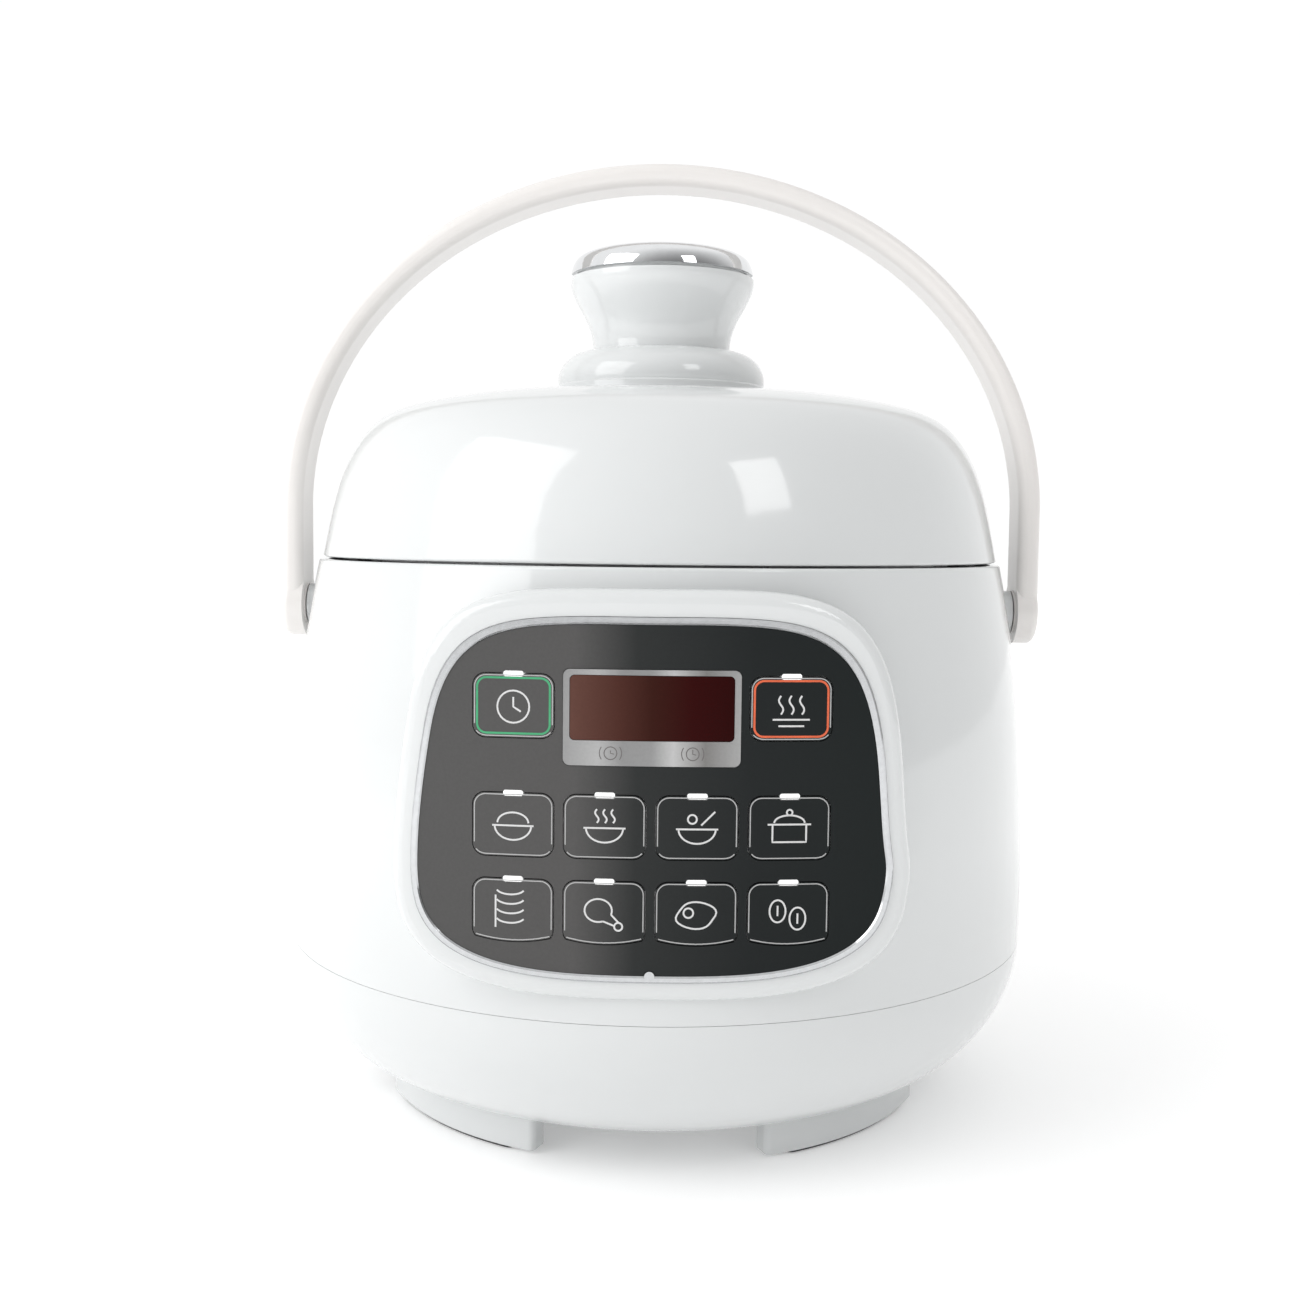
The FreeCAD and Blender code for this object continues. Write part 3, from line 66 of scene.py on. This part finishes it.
def ramp(tree, value, stops):
    """A colour ramp over a value: stops are (position, colour)."""
    node = tree.nodes.new("ShaderNodeValToRGB")
    elements = node.color_ramp.elements
    while len(elements) < len(stops):
        elements.new(0.5)
    for element, (position, colour) in zip(elements, stops):
        element.position = position
        element.color = (*colour, 1)
    tree.links.new(value, node.inputs["Fac"])
    return node.outputs["Color"]


def spread(tree, value, low, high):
    """Maps 0..1 to low..high."""
    node = tree.nodes.new("ShaderNodeMapRange")
    node.inputs["To Min"].default_value = low
    node.inputs["To Max"].default_value = high
    tree.links.new(value, node.inputs["Value"])
    return node.outputs["Result"]


def tinted(colour, amount):
    return tuple(max(0.0, min(1.0, c * (1 + amount))) for c in colour)


def add_bump(tree, shader, height, distance, strength=1.0):
    node = tree.nodes.new("ShaderNodeBump")
    node.inputs["Distance"].default_value = distance
    node.inputs["Strength"].default_value = strength
    tree.links.new(height, node.inputs["Height"])
    tree.links.new(node.outputs["Normal"], shader.inputs["Normal"])


def moulded(name, colour, rough, grain=900.0, depth=0.00001, vary=0.03, coat=0.0, flow_scale=14.0):
    """Moulded plastic: faint flow marks in its colour and gloss, and a fine skin."""
    material, tree, shader, place = new_material(name)
    flow = noise(tree, place, flow_scale, 4.0)
    skin = noise(tree, place, grain, 2.0)
    colours = ramp(tree, flow, [(0.3, tinted(colour, -vary)), (0.7, tinted(colour, vary))])
    tree.links.new(colours, shader.inputs["Base Color"])
    tree.links.new(spread(tree, skin, rough * 0.85, rough * 1.15), shader.inputs["Roughness"])
    shader.inputs["Coat Weight"].default_value = coat
    shader.inputs["Coat Roughness"].default_value = 0.03
    add_bump(tree, shader, skin, depth)
    return material


def metal(name, colour, rough, stretch=(1, 1, 1), grain=600.0, depth=0.00001, vary=0.06):
    """Metal with a fine grain that stretch turns into a brushed finish."""
    material, tree, shader, place = new_material(name)
    lines = noise(tree, place, grain, 3.0, stretch)
    cloud = noise(tree, place, 40.0, 3.0)
    colours = ramp(tree, lines, [(0.3, tinted(colour, -vary)), (0.7, tinted(colour, vary))])
    tree.links.new(colours, shader.inputs["Base Color"])
    shader.inputs["Metallic"].default_value = 1.0
    tree.links.new(spread(tree, cloud, rough * 0.8, rough * 1.2), shader.inputs["Roughness"])
    add_bump(tree, shader, lines, depth)
    return material


def across(tree, place, axis, low, high):
    """0 to 1 along an axis of the object, from low to high."""
    split = tree.nodes.new("ShaderNodeSeparateXYZ")
    tree.links.new(place, split.inputs[0])
    node = tree.nodes.new("ShaderNodeMapRange")
    node.inputs["From Min"].default_value = low
    node.inputs["From Max"].default_value = high
    tree.links.new(split.outputs[axis], node.inputs["Value"])
    return node.outputs["Result"]


def film_with_painted_reflection(name, stops, rough, metallic=0.0, width=0.06, gloss=0.5):
    """A film with a painted reflection: its tone changes from left to right, standing in for reflected light.
    """
    material, tree, shader, place = new_material(name)
    # Painted reflection: a tone ramp along the object's X goes into the base colour.
    painted_reflection_ramp = ramp(tree, across(tree, place, "X", -width, width), stops)
    speck = noise(tree, place, 1500.0, 2.0)
    mixed = tree.nodes.new("ShaderNodeMix")
    mixed.data_type = "RGBA"
    mixed.blend_type = "MULTIPLY"
    mixed.inputs["Factor"].default_value = 1.0
    tree.links.new(painted_reflection_ramp, mixed.inputs["A"])
    tree.links.new(ramp(tree, speck, [(0.35, (0.95, 0.95, 0.95)), (0.65, (1, 1, 1))]), mixed.inputs["B"])
    tree.links.new(mixed.outputs["Result"], shader.inputs["Base Color"])
    tree.links.new(spread(tree, speck, rough * 0.9, rough * 1.1), shader.inputs["Roughness"])
    shader.inputs["Metallic"].default_value = metallic
    shader.inputs["Specular IOR Level"].default_value = gloss
    return material


def glowing(name, colour, strength):
    """A lit indicator: a white diffuser with a faint cloud in it."""
    material, tree, shader, place = new_material(name)
    cloud = noise(tree, place, 900.0, 2.0)
    colours = ramp(tree, cloud, [(0.3, tinted(colour, -0.04)), (0.7, colour)])
    tree.links.new(colours, shader.inputs["Base Color"])
    tree.links.new(spread(tree, cloud, 0.25, 0.35), shader.inputs["Roughness"])
    shader.inputs["Emission Color"].default_value = (*colour, 1)
    shader.inputs["Emission Strength"].default_value = strength
    return material


white_shell = moulded("white_shell", (0.705, 0.72, 0.722), 0.10, 1300, 0.000004, 0.008, coat=0.3)
handle_plastic = moulded("handle_plastic", (0.80, 0.775, 0.755), 0.30, 1500, 0.00001, 0.015)
grey_plastic = moulded("grey_plastic", (0.42, 0.43, 0.43), 0.45, 1200, 0.00002, 0.04)
foot_rubber = moulded("foot_rubber", (0.03, 0.03, 0.032), 0.75, 1600, 0.00005, 0.15)
silicone = moulded("silicone", (0.62, 0.63, 0.62), 0.5, 900, 0.00002, 0.05)
inlet_black = moulded("inlet_black", (0.035, 0.035, 0.037), 0.4, 1400, 0.00003, 0.1)
board_green = moulded("board_green", (0.02, 0.13, 0.06), 0.35, 700, 0.00002, 0.2)
part_black = moulded("part_black", (0.04, 0.04, 0.045), 0.5, 1400, 0.00003, 0.15)
bush_plastic = moulded("bush_plastic", (0.6, 0.6, 0.57), 0.4, 1200, 0.00002, 0.04)
nonstick = moulded("nonstick", (0.035, 0.035, 0.038), 0.38, 2200, 0.00004, 0.3, flow_scale=400.0)
stainless = metal("stainless", (0.62, 0.62, 0.63), 0.28, (1, 1, 12), 260, 0.00001)
galvanised = metal("galvanised", (0.5, 0.51, 0.52), 0.42, (1, 1, 1), 90, 0.00001, 0.12)
cast_aluminium = metal("cast_aluminium", (0.6, 0.6, 0.61), 0.38, (1, 1, 1), 700, 0.00003)
element_metal = metal("element_metal", (0.25, 0.23, 0.22), 0.5, (1, 1, 1), 500, 0.00002, 0.2)
screw_metal = metal("screw_metal", (0.55, 0.55, 0.56), 0.3, (1, 1, 1), 900, 0.00001)
brass = metal("brass", (0.66, 0.48, 0.2), 0.3, (1, 8, 1), 500, 0.00001)
chrome = metal("chrome", (0.78, 0.79, 0.8), 0.05, (1, 1, 1), 300, 0.000002, 0.02)
frame_chrome = metal("frame_chrome", (0.52, 0.53, 0.54), 0.14, (1, 1, 1), 900, 0.000004, 0.05)
# Painted reflection: the black plate and its keys run from dark grey on the left to near black on the right.
panel_black_painted_reflection = film_with_painted_reflection("panel_black_painted_reflection", [(0.0, (0.088, 0.087, 0.086)), (0.35, (0.09, 0.088, 0.087)),
                                     (0.47, (0.024, 0.026, 0.026)), (0.7, (0.01, 0.0125, 0.013)),
                                     (1.0, (0.006, 0.0095, 0.0095))],
                     0.09, gloss=0.13)
# Painted reflection: the display window runs from reddish on the left to dark red on the right.
dark_window = film_with_painted_reflection("dark_window", [(0.0, (0.118, 0.054, 0.042)), (0.3, (0.07, 0.024, 0.018)),
                                     (0.5, (0.038, 0.009, 0.006)), (0.75, (0.03, 0.001, 0.001)),
                                     (1.0, (0.022, 0.0, 0.0))],
                     0.07, width=0.019, gloss=0.05)
# Painted reflection: light and dark vertical bands across the silver bezel.
bezel_silver_painted_reflection = film_with_painted_reflection("bezel_silver_painted_reflection", [(0.0, (0.3, 0.3, 0.3)), (0.2, (0.42, 0.42, 0.42)),
                                       (0.34, (0.26, 0.26, 0.26)), (0.5, (0.28, 0.28, 0.28)),
                                       (0.62, (0.5, 0.5, 0.5)), (0.8, (0.2, 0.195, 0.19)),
                                       (1.0, (0.36, 0.36, 0.36))],
                      0.3, metallic=0.55, width=0.021)
line_silver = moulded("line_silver", (0.42, 0.42, 0.42), 0.3, 900, 0.000002, 0.05, flow_scale=260.0)
line_green = moulded("line_green", (0.05, 0.36, 0.16), 0.35, 900, 0.000002, 0.1, flow_scale=260.0)
line_red = moulded("line_red", (0.72, 0.12, 0.04), 0.35, 900, 0.000002, 0.1, flow_scale=260.0)
icon_white = moulded("icon_white", (0.66, 0.66, 0.66), 0.35, 900, 0.000002, 0.03, flow_scale=200.0)
icon_dark = moulded("icon_dark", (0.12, 0.11, 0.11), 0.4, 900, 0.000002, 0.05, flow_scale=200.0)
pip_white = glowing("pip_white", (0.95, 0.95, 0.95), 0.35)

FINISH = {
    white_shell: ["outer_housing", "base_shell", "lid_cover", "knob_flange", "knob_body"],
    handle_plastic: ["carry_handle"],
    grey_plastic: ["rim_cover", "lid_base_ring"],
    foot_rubber: ["foot_pads"],
    silicone: ["sealing_ring", "float_seal"],
    inlet_black: ["power_inlet"],
    board_green: ["power_board", "control_board"],
    part_black: ["power_board_parts", "push_switches", "display_module", "thermal_fuse", "pressure_switch"],
    bush_plastic: ["handle_bushes"],
    nonstick: ["inner_pot"],
    stainless: ["locking_ring", "lid_plate", "vent_tube", "vent_shield", "float_valve", "knob_nut",
                "handle_pins", "handle_clips", "sensor_spring", "cap_spring"],
    galvanised: ["heat_shield", "sensor_bracket"],
    cast_aluminium: ["heating_plate", "temperature_sensor"],
    element_metal: ["heating_element"],
    screw_metal: ["base_screws", "ring_screws", "lid_plate_screws", "control_board_screws",
                  "power_board_screws", "inlet_screws", "heater_screws"],
    brass: ["inlet_contacts"],
    chrome: ["pressure_cap"],
    frame_chrome: ["panel_frame"],
    panel_black_painted_reflection: ["panel_plate"] + KEYS,
    dark_window: ["display_window"],
    bezel_silver_painted_reflection: ["display_bezel"],
    pip_white: ["light_pipes"],
}


def finish_nodes():
    for material, names in FINISH.items():
        for name in names:
            slots = nodes[name].data.materials
            slots.clear()
            slots.append(material)


# ================================================================== panel graphics
LINE_LIFT = 0.04 * MM         # how far a printed line stands off the surface
LINE_SINK = 0.05 * MM         # and how far it reaches into it
STEP_LIMIT = 0.6 * MM         # a hit further than this from the bent face is a hole or a gap
RAY_START = -0.3              # well in front of the object
LINE_STEP = 1.2 * MM          # longest span of a border or ring
ICON_STEP = 0.8 * MM          # longest span of an icon's stroke
ICON_SCALE = 0.95 * MM        # size of one icon unit
ICON_DROP = 0.25 * MM         # icons sit this far below a key's middle
STROKE = 0.42 * MM
BORDER = 0.26 * MM
BORDER_INSET = 0.35 * MM      # from a key's edge to its printed border
BORDER_CORNER = 2.7 * MM
BORDER_BREAK = 3.1 * MM       # height over a key's low edge where the side strokes end
BORDER_END = 0.75 * MM        # from a key's side to the end of the lower stroke
RING_WIDTH = 0.5 * MM         # coloured ring on the two upper keys
RING_INSET = 0.95 * MM
RING_CORNER = 2.2 * MM
LEVEL_STEP = 4 * MM           # above the plate's low edge, where its bend is read
LEVEL_SIDE = 30 * MM          # half the width over which it is read


def surface_of(name):
    mesh = nodes[name].data
    points = [v.co.copy() for v in mesh.vertices]
    faces = [tuple(p.vertices) for p in mesh.polygons]
    return BVHTree.FromPolygons(points, faces)


def front_y(surface, x, z):
    """Y of the first surface met from the front at (x, z)."""
    hit = surface.ray_cast(Vector((x, RAY_START, z)), Vector((0, 1, 0)))
    return hit[0].y if hit[0] else None


def printed(name, body, material, surface, strips, y_default):
    """One object made of flat strips that follow a surface; strips are (points, width, closed)."""
    verts = []
    faces = []
    for points, width, closed in strips:
        count = len(points)
        base = len(verts)
        for i, (x, z) in enumerate(points):
            before = points[(i - 1) % count] if closed or i else points[i]
            after = points[(i + 1) % count] if closed or i < count - 1 else points[i]
            dx = after[0] - before[0]
            dz = after[1] - before[1]
            size = math.hypot(dx, dz) or 1.0
            nx = -dz / size * width / 2.0
            nz = dx / size * width / 2.0
            for sign in (-1, 1):
                px = x + sign * nx
                pz = z + sign * nz
                y = front_y(surface, px, pz)
                if y is None or abs(y - y_default(px)) > STEP_LIMIT:
                    y = y_default(px)
                verts.append((px, y - LINE_LIFT, pz))
                verts.append((px, y + LINE_SINK, pz))
        spans = count if closed else count - 1
        for i in range(spans):
            a = base + 4 * i
            b = base + 4 * ((i + 1) % count)
            faces += [(a, a + 2, b + 2, b), (a + 1, b + 1, b + 3, a + 3),
                      (a, b, b + 1, a + 1), (a + 2, a + 3, b + 3, b + 2)]
        if not closed:
            last = base + 4 * (count - 1)
            faces += [(base, base + 1, base + 3, base + 2), (last, last + 2, last + 3, last + 1)]
    mesh = bpy.data.meshes.new(name)
    mesh.from_pydata(verts, [], faces)
    mesh.validate()
    mesh.materials.append(material)
    obj = bpy.data.objects.new(name, mesh)
    bpy.context.scene.collection.objects.link(obj)
    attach(obj, body)
    return obj


def arc(cx, cz, r, start, end, steps=12, rz=None):
    """Points of an arc in degrees, counted from +X towards +Z."""
    rz = r if rz is None else rz
    angles = [math.radians(start + (end - start) * i / steps) for i in range(steps + 1)]
    return [(cx + r * math.cos(a), cz + rz * math.sin(a)) for a in angles]


def loop(cx, cz, r, rz=None, steps=28):
    return arc(cx, cz, r, 0, 360 - 360.0 / steps, steps - 1, rz)


def wave(cx, cz, height, swing, steps=14):
    """A short upright wavy line, such as rising steam."""
    return [(cx + swing * math.sin(2 * math.pi * i / steps), cz + height * (i / steps - 0.5))
            for i in range(steps + 1)]


def resample(points, step):
    """The same path with points no further apart than step."""
    out = [points[0]]
    for a, b in zip(points, points[1:]):
        n = max(1, math.ceil(math.hypot(b[0] - a[0], b[1] - a[1]) / step))
        out += [(a[0] + (b[0] - a[0]) * i / n, a[1] + (b[1] - a[1]) * i / n) for i in range(1, n + 1)]
    return out


def icon(kind, cx, cz):
    """Strokes of a small generic pictogram about 10 mm wide, around its own origin, in millimetres; cx and cz
    are not used.
    """
    if kind == "clock":
        return [(loop(0, 0, 4.0), True), ([(0, 2.4), (0, 0), (1.9, -1.2)], False)]
    if kind == "warm":
        waves = [(wave(x, 1.2, 4.6, 0.55), False) for x in (-2.6, 0, 2.6)]
        return waves + [([(-4.6, -2.4), (4.6, -2.4)], False), ([(-3.2, -4.0), (3.2, -4.0)], False)]
    bowl = arc(0, 0, 4.6, 180, 360, 18, 3.6)
    rim = [(-5.2, 0), (5.2, 0)]
    if kind == "rice":
        return [(bowl, False), (rim, False), (arc(0, 0.7, 3.9, 0, 180, 16, 2.6), False)]
    if kind == "steam":
        return [(bowl, False), (rim, False)] + [(wave(x, 3.0, 3.4, 0.45), False) for x in (-1.9, 0.1, 2.1)]
    if kind == "spoon":
        return [(bowl, False), (rim, False), ([(1.0, 1.0), (4.4, 4.4)], False),
                (loop(-1.2, 2.5, 1.1), True)]
    if kind == "pot":
        body = [(-4.2, 1.2), (-4.2, -3.2), (4.2, -3.2), (4.2, 1.2)]
        return [(body, False), ([(-5.4, 1.2), (5.4, 1.2)], False), (arc(0, 1.6, 3.8, 0, 180, 14, 1.9), False),
                (loop(0, 4.2, 0.7), True)]
    if kind == "ribs":
        bones = [(arc(-0.6, -1.4 + 2.4 * i, 3.6, 200, 340, 12, 1.6), False) for i in range(4)]
        return [([(-4.3, -4.2), (-4.3, 4.0)], False)] + bones
    if kind == "drumstick":
        meat = arc(-1.4, 0.9, 3.4, -20, 290, 24, 2.9)
        return [(meat, False), ([(1.8, -0.1), (3.6, -2.0)], False), ([(-0.2, -1.8), (2.6, -2.9)], False),
                (loop(3.6, -3.1, 1.0), True)]
    if kind == "steak":
        side = arc(0, 0, 4.8, 0, 330, 26, 3.4)
        side = [(x + 0.5 * math.sin(z), z) for x, z in side]
        return [(side, True), (loop(-1.9, 0.6, 1.2), True)]
    beans = [(loop(-2.6, 1.0, 2.0, 2.8), True), (loop(2.4, -0.9, 2.0, 2.8), True)]
    return beans + [([(-2.6, 2.4), (-2.6, -0.2)], False), ([(2.4, 0.4), (2.4, -2.2)], False)]


ICONS = {
    "key_top_left": "clock", "key_top_right": "warm",
    "key_middle_1": "rice", "key_middle_2": "steam", "key_middle_3": "spoon", "key_middle_4": "pot",
    "key_bottom_1": "ribs", "key_bottom_2": "drumstick", "key_bottom_3": "steak", "key_bottom_4": "beans",
}


def lowest_on(surface, x, low, high):
    """Z of the lowest point of a face met from the front at x."""
    z = low
    while z < high and front_y(surface, x, z) is None:
        z += 0.05 * MM
    return z


def key_outline(surface, low, high):
    """The upper and lower strokes of a key's printed border, with a small gap at each low corner."""
    r = BORDER_CORNER
    x0 = low.x + BORDER_INSET
    x1 = high.x - BORDER_INSET
    z1 = high.z - BORDER_INSET
    side_end = low.z + BORDER_BREAK
    upper = [(x0, side_end), (x0, z1 - r)] + arc(x0 + r, z1 - r, r, 180, 90, 8)
    upper += arc(x1 - r, z1 - r, r, 90, 0, 8) + [(x1, side_end)]
    start = low.x + BORDER_END
    end = high.x - BORDER_END
    steps = 36
    along = [start + (end - start) * i / steps for i in range(steps + 1)]
    lower = [(x, lowest_on(surface, x, low.z, side_end) + BORDER_INSET) for x in along]
    return upper, lower


def rounded_loop(x0, x1, z0, z1, r):
    return (arc(x0 + r, z0 + r, r, 180, 270, 8) + arc(x1 - r, z0 + r, r, 270, 360, 8)
            + arc(x1 - r, z1 - r, r, 0, 90, 8) + arc(x0 + r, z1 - r, r, 90, 180, 8))


def panel_curve():
    """The panel's bend, read from the black plate: its front at the middle and at its sides."""
    low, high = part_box("panel_plate")
    surface = surface_of("panel_plate")
    level = low.z + LEVEL_STEP
    middle = front_y(surface, 0.0, level)
    sag = front_y(surface, LEVEL_SIDE, level) - middle
    radius = (LEVEL_SIDE ** 2 + sag ** 2) / (2 * sag)
    return middle, radius


def draw_keys():
    middle, radius = panel_curve()
    for name in KEYS:
        low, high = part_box(name)
        surface = surface_of(name)
        cx = (low.x + high.x) / 2.0
        cz = (low.z + high.z) / 2.0
        face = front_y(surface, cx, cz)
        shift = face - (middle + radius - math.sqrt(radius ** 2 - cx ** 2))

        def y_default(x, shift=shift):
            return middle + shift + radius - math.sqrt(radius ** 2 - x * x)

        upper, lower = key_outline(surface, low, high)
        border = [(resample(upper, LINE_STEP), BORDER, False), (lower, BORDER, False)]
        printed(name + "_border", name, line_silver, surface, border, y_default)
        if name.startswith("key_top"):
            ring = rounded_loop(low.x + RING_INSET, high.x - RING_INSET,
                                low.z + RING_INSET, high.z - RING_INSET, RING_CORNER)
            colour = line_green if name.endswith("left") else line_red
            printed(name + "_ring", name, colour, surface,
                    [(resample(ring + ring[:1], LINE_STEP)[:-1], RING_WIDTH, True)], y_default)
        strokes = []
        for points, closed in icon(ICONS[name], cx, cz):
            path = [(cx + x * ICON_SCALE, cz - ICON_DROP + z * ICON_SCALE) for x, z in points]
            strokes.append((resample(path, ICON_STEP), STROKE, closed))
        printed(name + "_icon", name, icon_white, surface, strokes, y_default)


def draw_bezel_marks():
    """Two tiny clock marks on the silver strip under the window."""
    low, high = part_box("display_bezel")
    window_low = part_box("display_window")[0]
    middle, radius = panel_curve()
    surface = surface_of("display_bezel")
    z = (low.z + window_low.z) / 2.0
    top = front_y(surface, 0.0, z)
    shift = top - middle

    def y_default(x):
        return middle + shift + radius - math.sqrt(radius ** 2 - x * x)

    marks = []
    place = 9.6 * MM
    line = 0.2 * MM
    for cx, hand in ((-place, 0.63 * MM), (place, 1.05 * MM)):
        marks.append((loop(cx, z, 1.5 * MM, steps=20), 1.1 * line, True))
        marks.append(([(cx, z + hand), (cx, z), (cx + 0.8 * MM, z - 0.2 * MM)], line, False))
        for side in (-1, 1):
            middle_angle = 90 + side * 90
            marks.append((arc(cx, z, 2.6 * MM, middle_angle - 35, middle_angle + 35, 8), line, False))
    printed("bezel_marks", "base", icon_dark, surface, marks, y_default)


# ================================================================== stage
FLOOR_SIZE = 8.0
FLOOR_GLOW_NEAR = 0.2         # light that the sweep gives off under the object
FLOOR_GLOW_FAR = 0.45         # and beyond GLOW_TO
GLOW_FROM = 0.14              # distances over which it rises
GLOW_TO = 0.6
WORLD_TOWARDS = (-0.45, 0.8, 0.42)      # direction that most light comes from
WORLD_DARK = 0.22
WORLD_LIGHT = 1.02
DARK_UNTIL = -0.85            # share of that direction in a ray, for the dark and the light end
LIGHT_FROM = 0.45


def area_light(name, place, aim, size, power, colour=(1, 1, 1), height=None):
    data = bpy.data.lights.new(name, "AREA")
    data.shape = "RECTANGLE"
    data.size = size
    data.size_y = height or size
    data.energy = power
    data.color = colour
    light = bpy.data.objects.new(name, data)
    light.location = place
    light.rotation_mode = "QUATERNION"
    light.rotation_quaternion = (Vector(aim) - Vector(place)).to_track_quat("-Z", "Y")
    bpy.context.scene.collection.objects.link(light)


def build_floor():
    """A white sweep: it gives off a little light far from the object, so no horizon shows."""
    bpy.ops.mesh.primitive_plane_add(size=FLOOR_SIZE, location=(0, 0, 0))
    floor = bpy.context.object
    floor.name = "floor"
    material, tree, shader, place = new_material("floor_paper")
    cloud = noise(tree, place, 3.0, 2.0)
    colours = ramp(tree, cloud, [(0.3, (0.9, 0.9, 0.9)), (0.7, (0.92, 0.92, 0.92))])
    tree.links.new(colours, shader.inputs["Base Color"])
    shader.inputs["Roughness"].default_value = 0.9
    shader.inputs["Specular IOR Level"].default_value = 0.0
    length = tree.nodes.new("ShaderNodeVectorMath")
    length.operation = "LENGTH"
    tree.links.new(place, length.inputs[0])
    far = tree.nodes.new("ShaderNodeMapRange")
    far.interpolation_type = "SMOOTHSTEP"
    far.inputs["From Min"].default_value = GLOW_FROM
    far.inputs["From Max"].default_value = GLOW_TO
    far.inputs["To Min"].default_value = FLOOR_GLOW_NEAR
    far.inputs["To Max"].default_value = FLOOR_GLOW_FAR
    tree.links.new(length.outputs["Value"], far.inputs["Value"])
    shader.inputs["Emission Color"].default_value = (1, 1, 1, 1)
    tree.links.new(far.outputs["Result"], shader.inputs["Emission Strength"])
    floor.data.materials.append(material)


def build_world():
    """A white backdrop whose light is strong from behind and the left, and weak from the front right."""
    world = bpy.data.worlds.new("studio")
    bpy.context.scene.world = world
    world.use_nodes = True
    tree = world.node_tree
    place = tree.nodes.new("ShaderNodeTexCoord")
    dot = tree.nodes.new("ShaderNodeVectorMath")
    dot.operation = "DOT_PRODUCT"
    dot.inputs[1].default_value = WORLD_TOWARDS
    tree.links.new(place.outputs["Generated"], dot.inputs[0])
    shade = tree.nodes.new("ShaderNodeMapRange")
    shade.interpolation_type = "SMOOTHSTEP"
    shade.inputs["From Min"].default_value = DARK_UNTIL
    shade.inputs["From Max"].default_value = LIGHT_FROM
    shade.inputs["To Min"].default_value = WORLD_DARK
    shade.inputs["To Max"].default_value = WORLD_LIGHT
    tree.links.new(dot.outputs["Value"], shade.inputs["Value"])
    rays = tree.nodes.new("ShaderNodeLightPath")
    seen = tree.nodes.new("ShaderNodeMix")
    seen.inputs["B"].default_value = WORLD_LIGHT
    tree.links.new(rays.outputs["Is Camera Ray"], seen.inputs["Factor"])
    tree.links.new(shade.outputs["Result"], seen.inputs["A"])
    tree.links.new(seen.outputs["Result"], tree.nodes["Background"].inputs["Strength"])
    tree.nodes["Background"].inputs["Color"].default_value = (1, 1, 1, 1)


def build_stage():
    build_floor()
    build_world()
    area_light("key_left", (-0.8, -0.5, 0.6), (0, 0, 0.12), 0.7, 4.8, height=0.9)
    area_light("window_right", (0.55, -0.75, 0.75), (0, 0, 0.17), 0.28, 1.3, height=0.4)
    bpy.context.scene.view_settings.view_transform = "Standard"


# ================================================================== camera
CAMERA_DISTANCE = 0.4595      # from the upright axis
CAMERA_HEIGHT = 0.1639
CAMERA_AZIMUTH = 0.65         # degrees to the right of straight ahead
CAMERA_PITCH = 4.41           # degrees down
CAMERA_YAW = 1.01             # degrees to the left
CAMERA_ROLL = -0.6            # degrees, turned so that the right side sits lower
CAMERA_LENS = 41.5            # on a 36 mm wide sensor


def build_camera():
    data = bpy.data.cameras.new("camera")
    data.sensor_width = 36.0
    data.lens = CAMERA_LENS
    camera = bpy.data.objects.new("camera", data)
    angle = math.radians(CAMERA_AZIMUTH)
    camera.location = (CAMERA_DISTANCE * math.sin(angle), -CAMERA_DISTANCE * math.cos(angle), CAMERA_HEIGHT)
    pitch = math.radians(90 - CAMERA_PITCH)
    camera.rotation_euler = (pitch, math.radians(CAMERA_ROLL), math.radians(CAMERA_YAW))
    camera.rotation_mode = "XYZ"
    bpy.context.scene.collection.objects.link(camera)
    bpy.context.scene.camera = camera


finish_nodes()
draw_keys()
draw_bezel_marks()
build_stage()
build_camera()

bpy.context.view_layer.update()
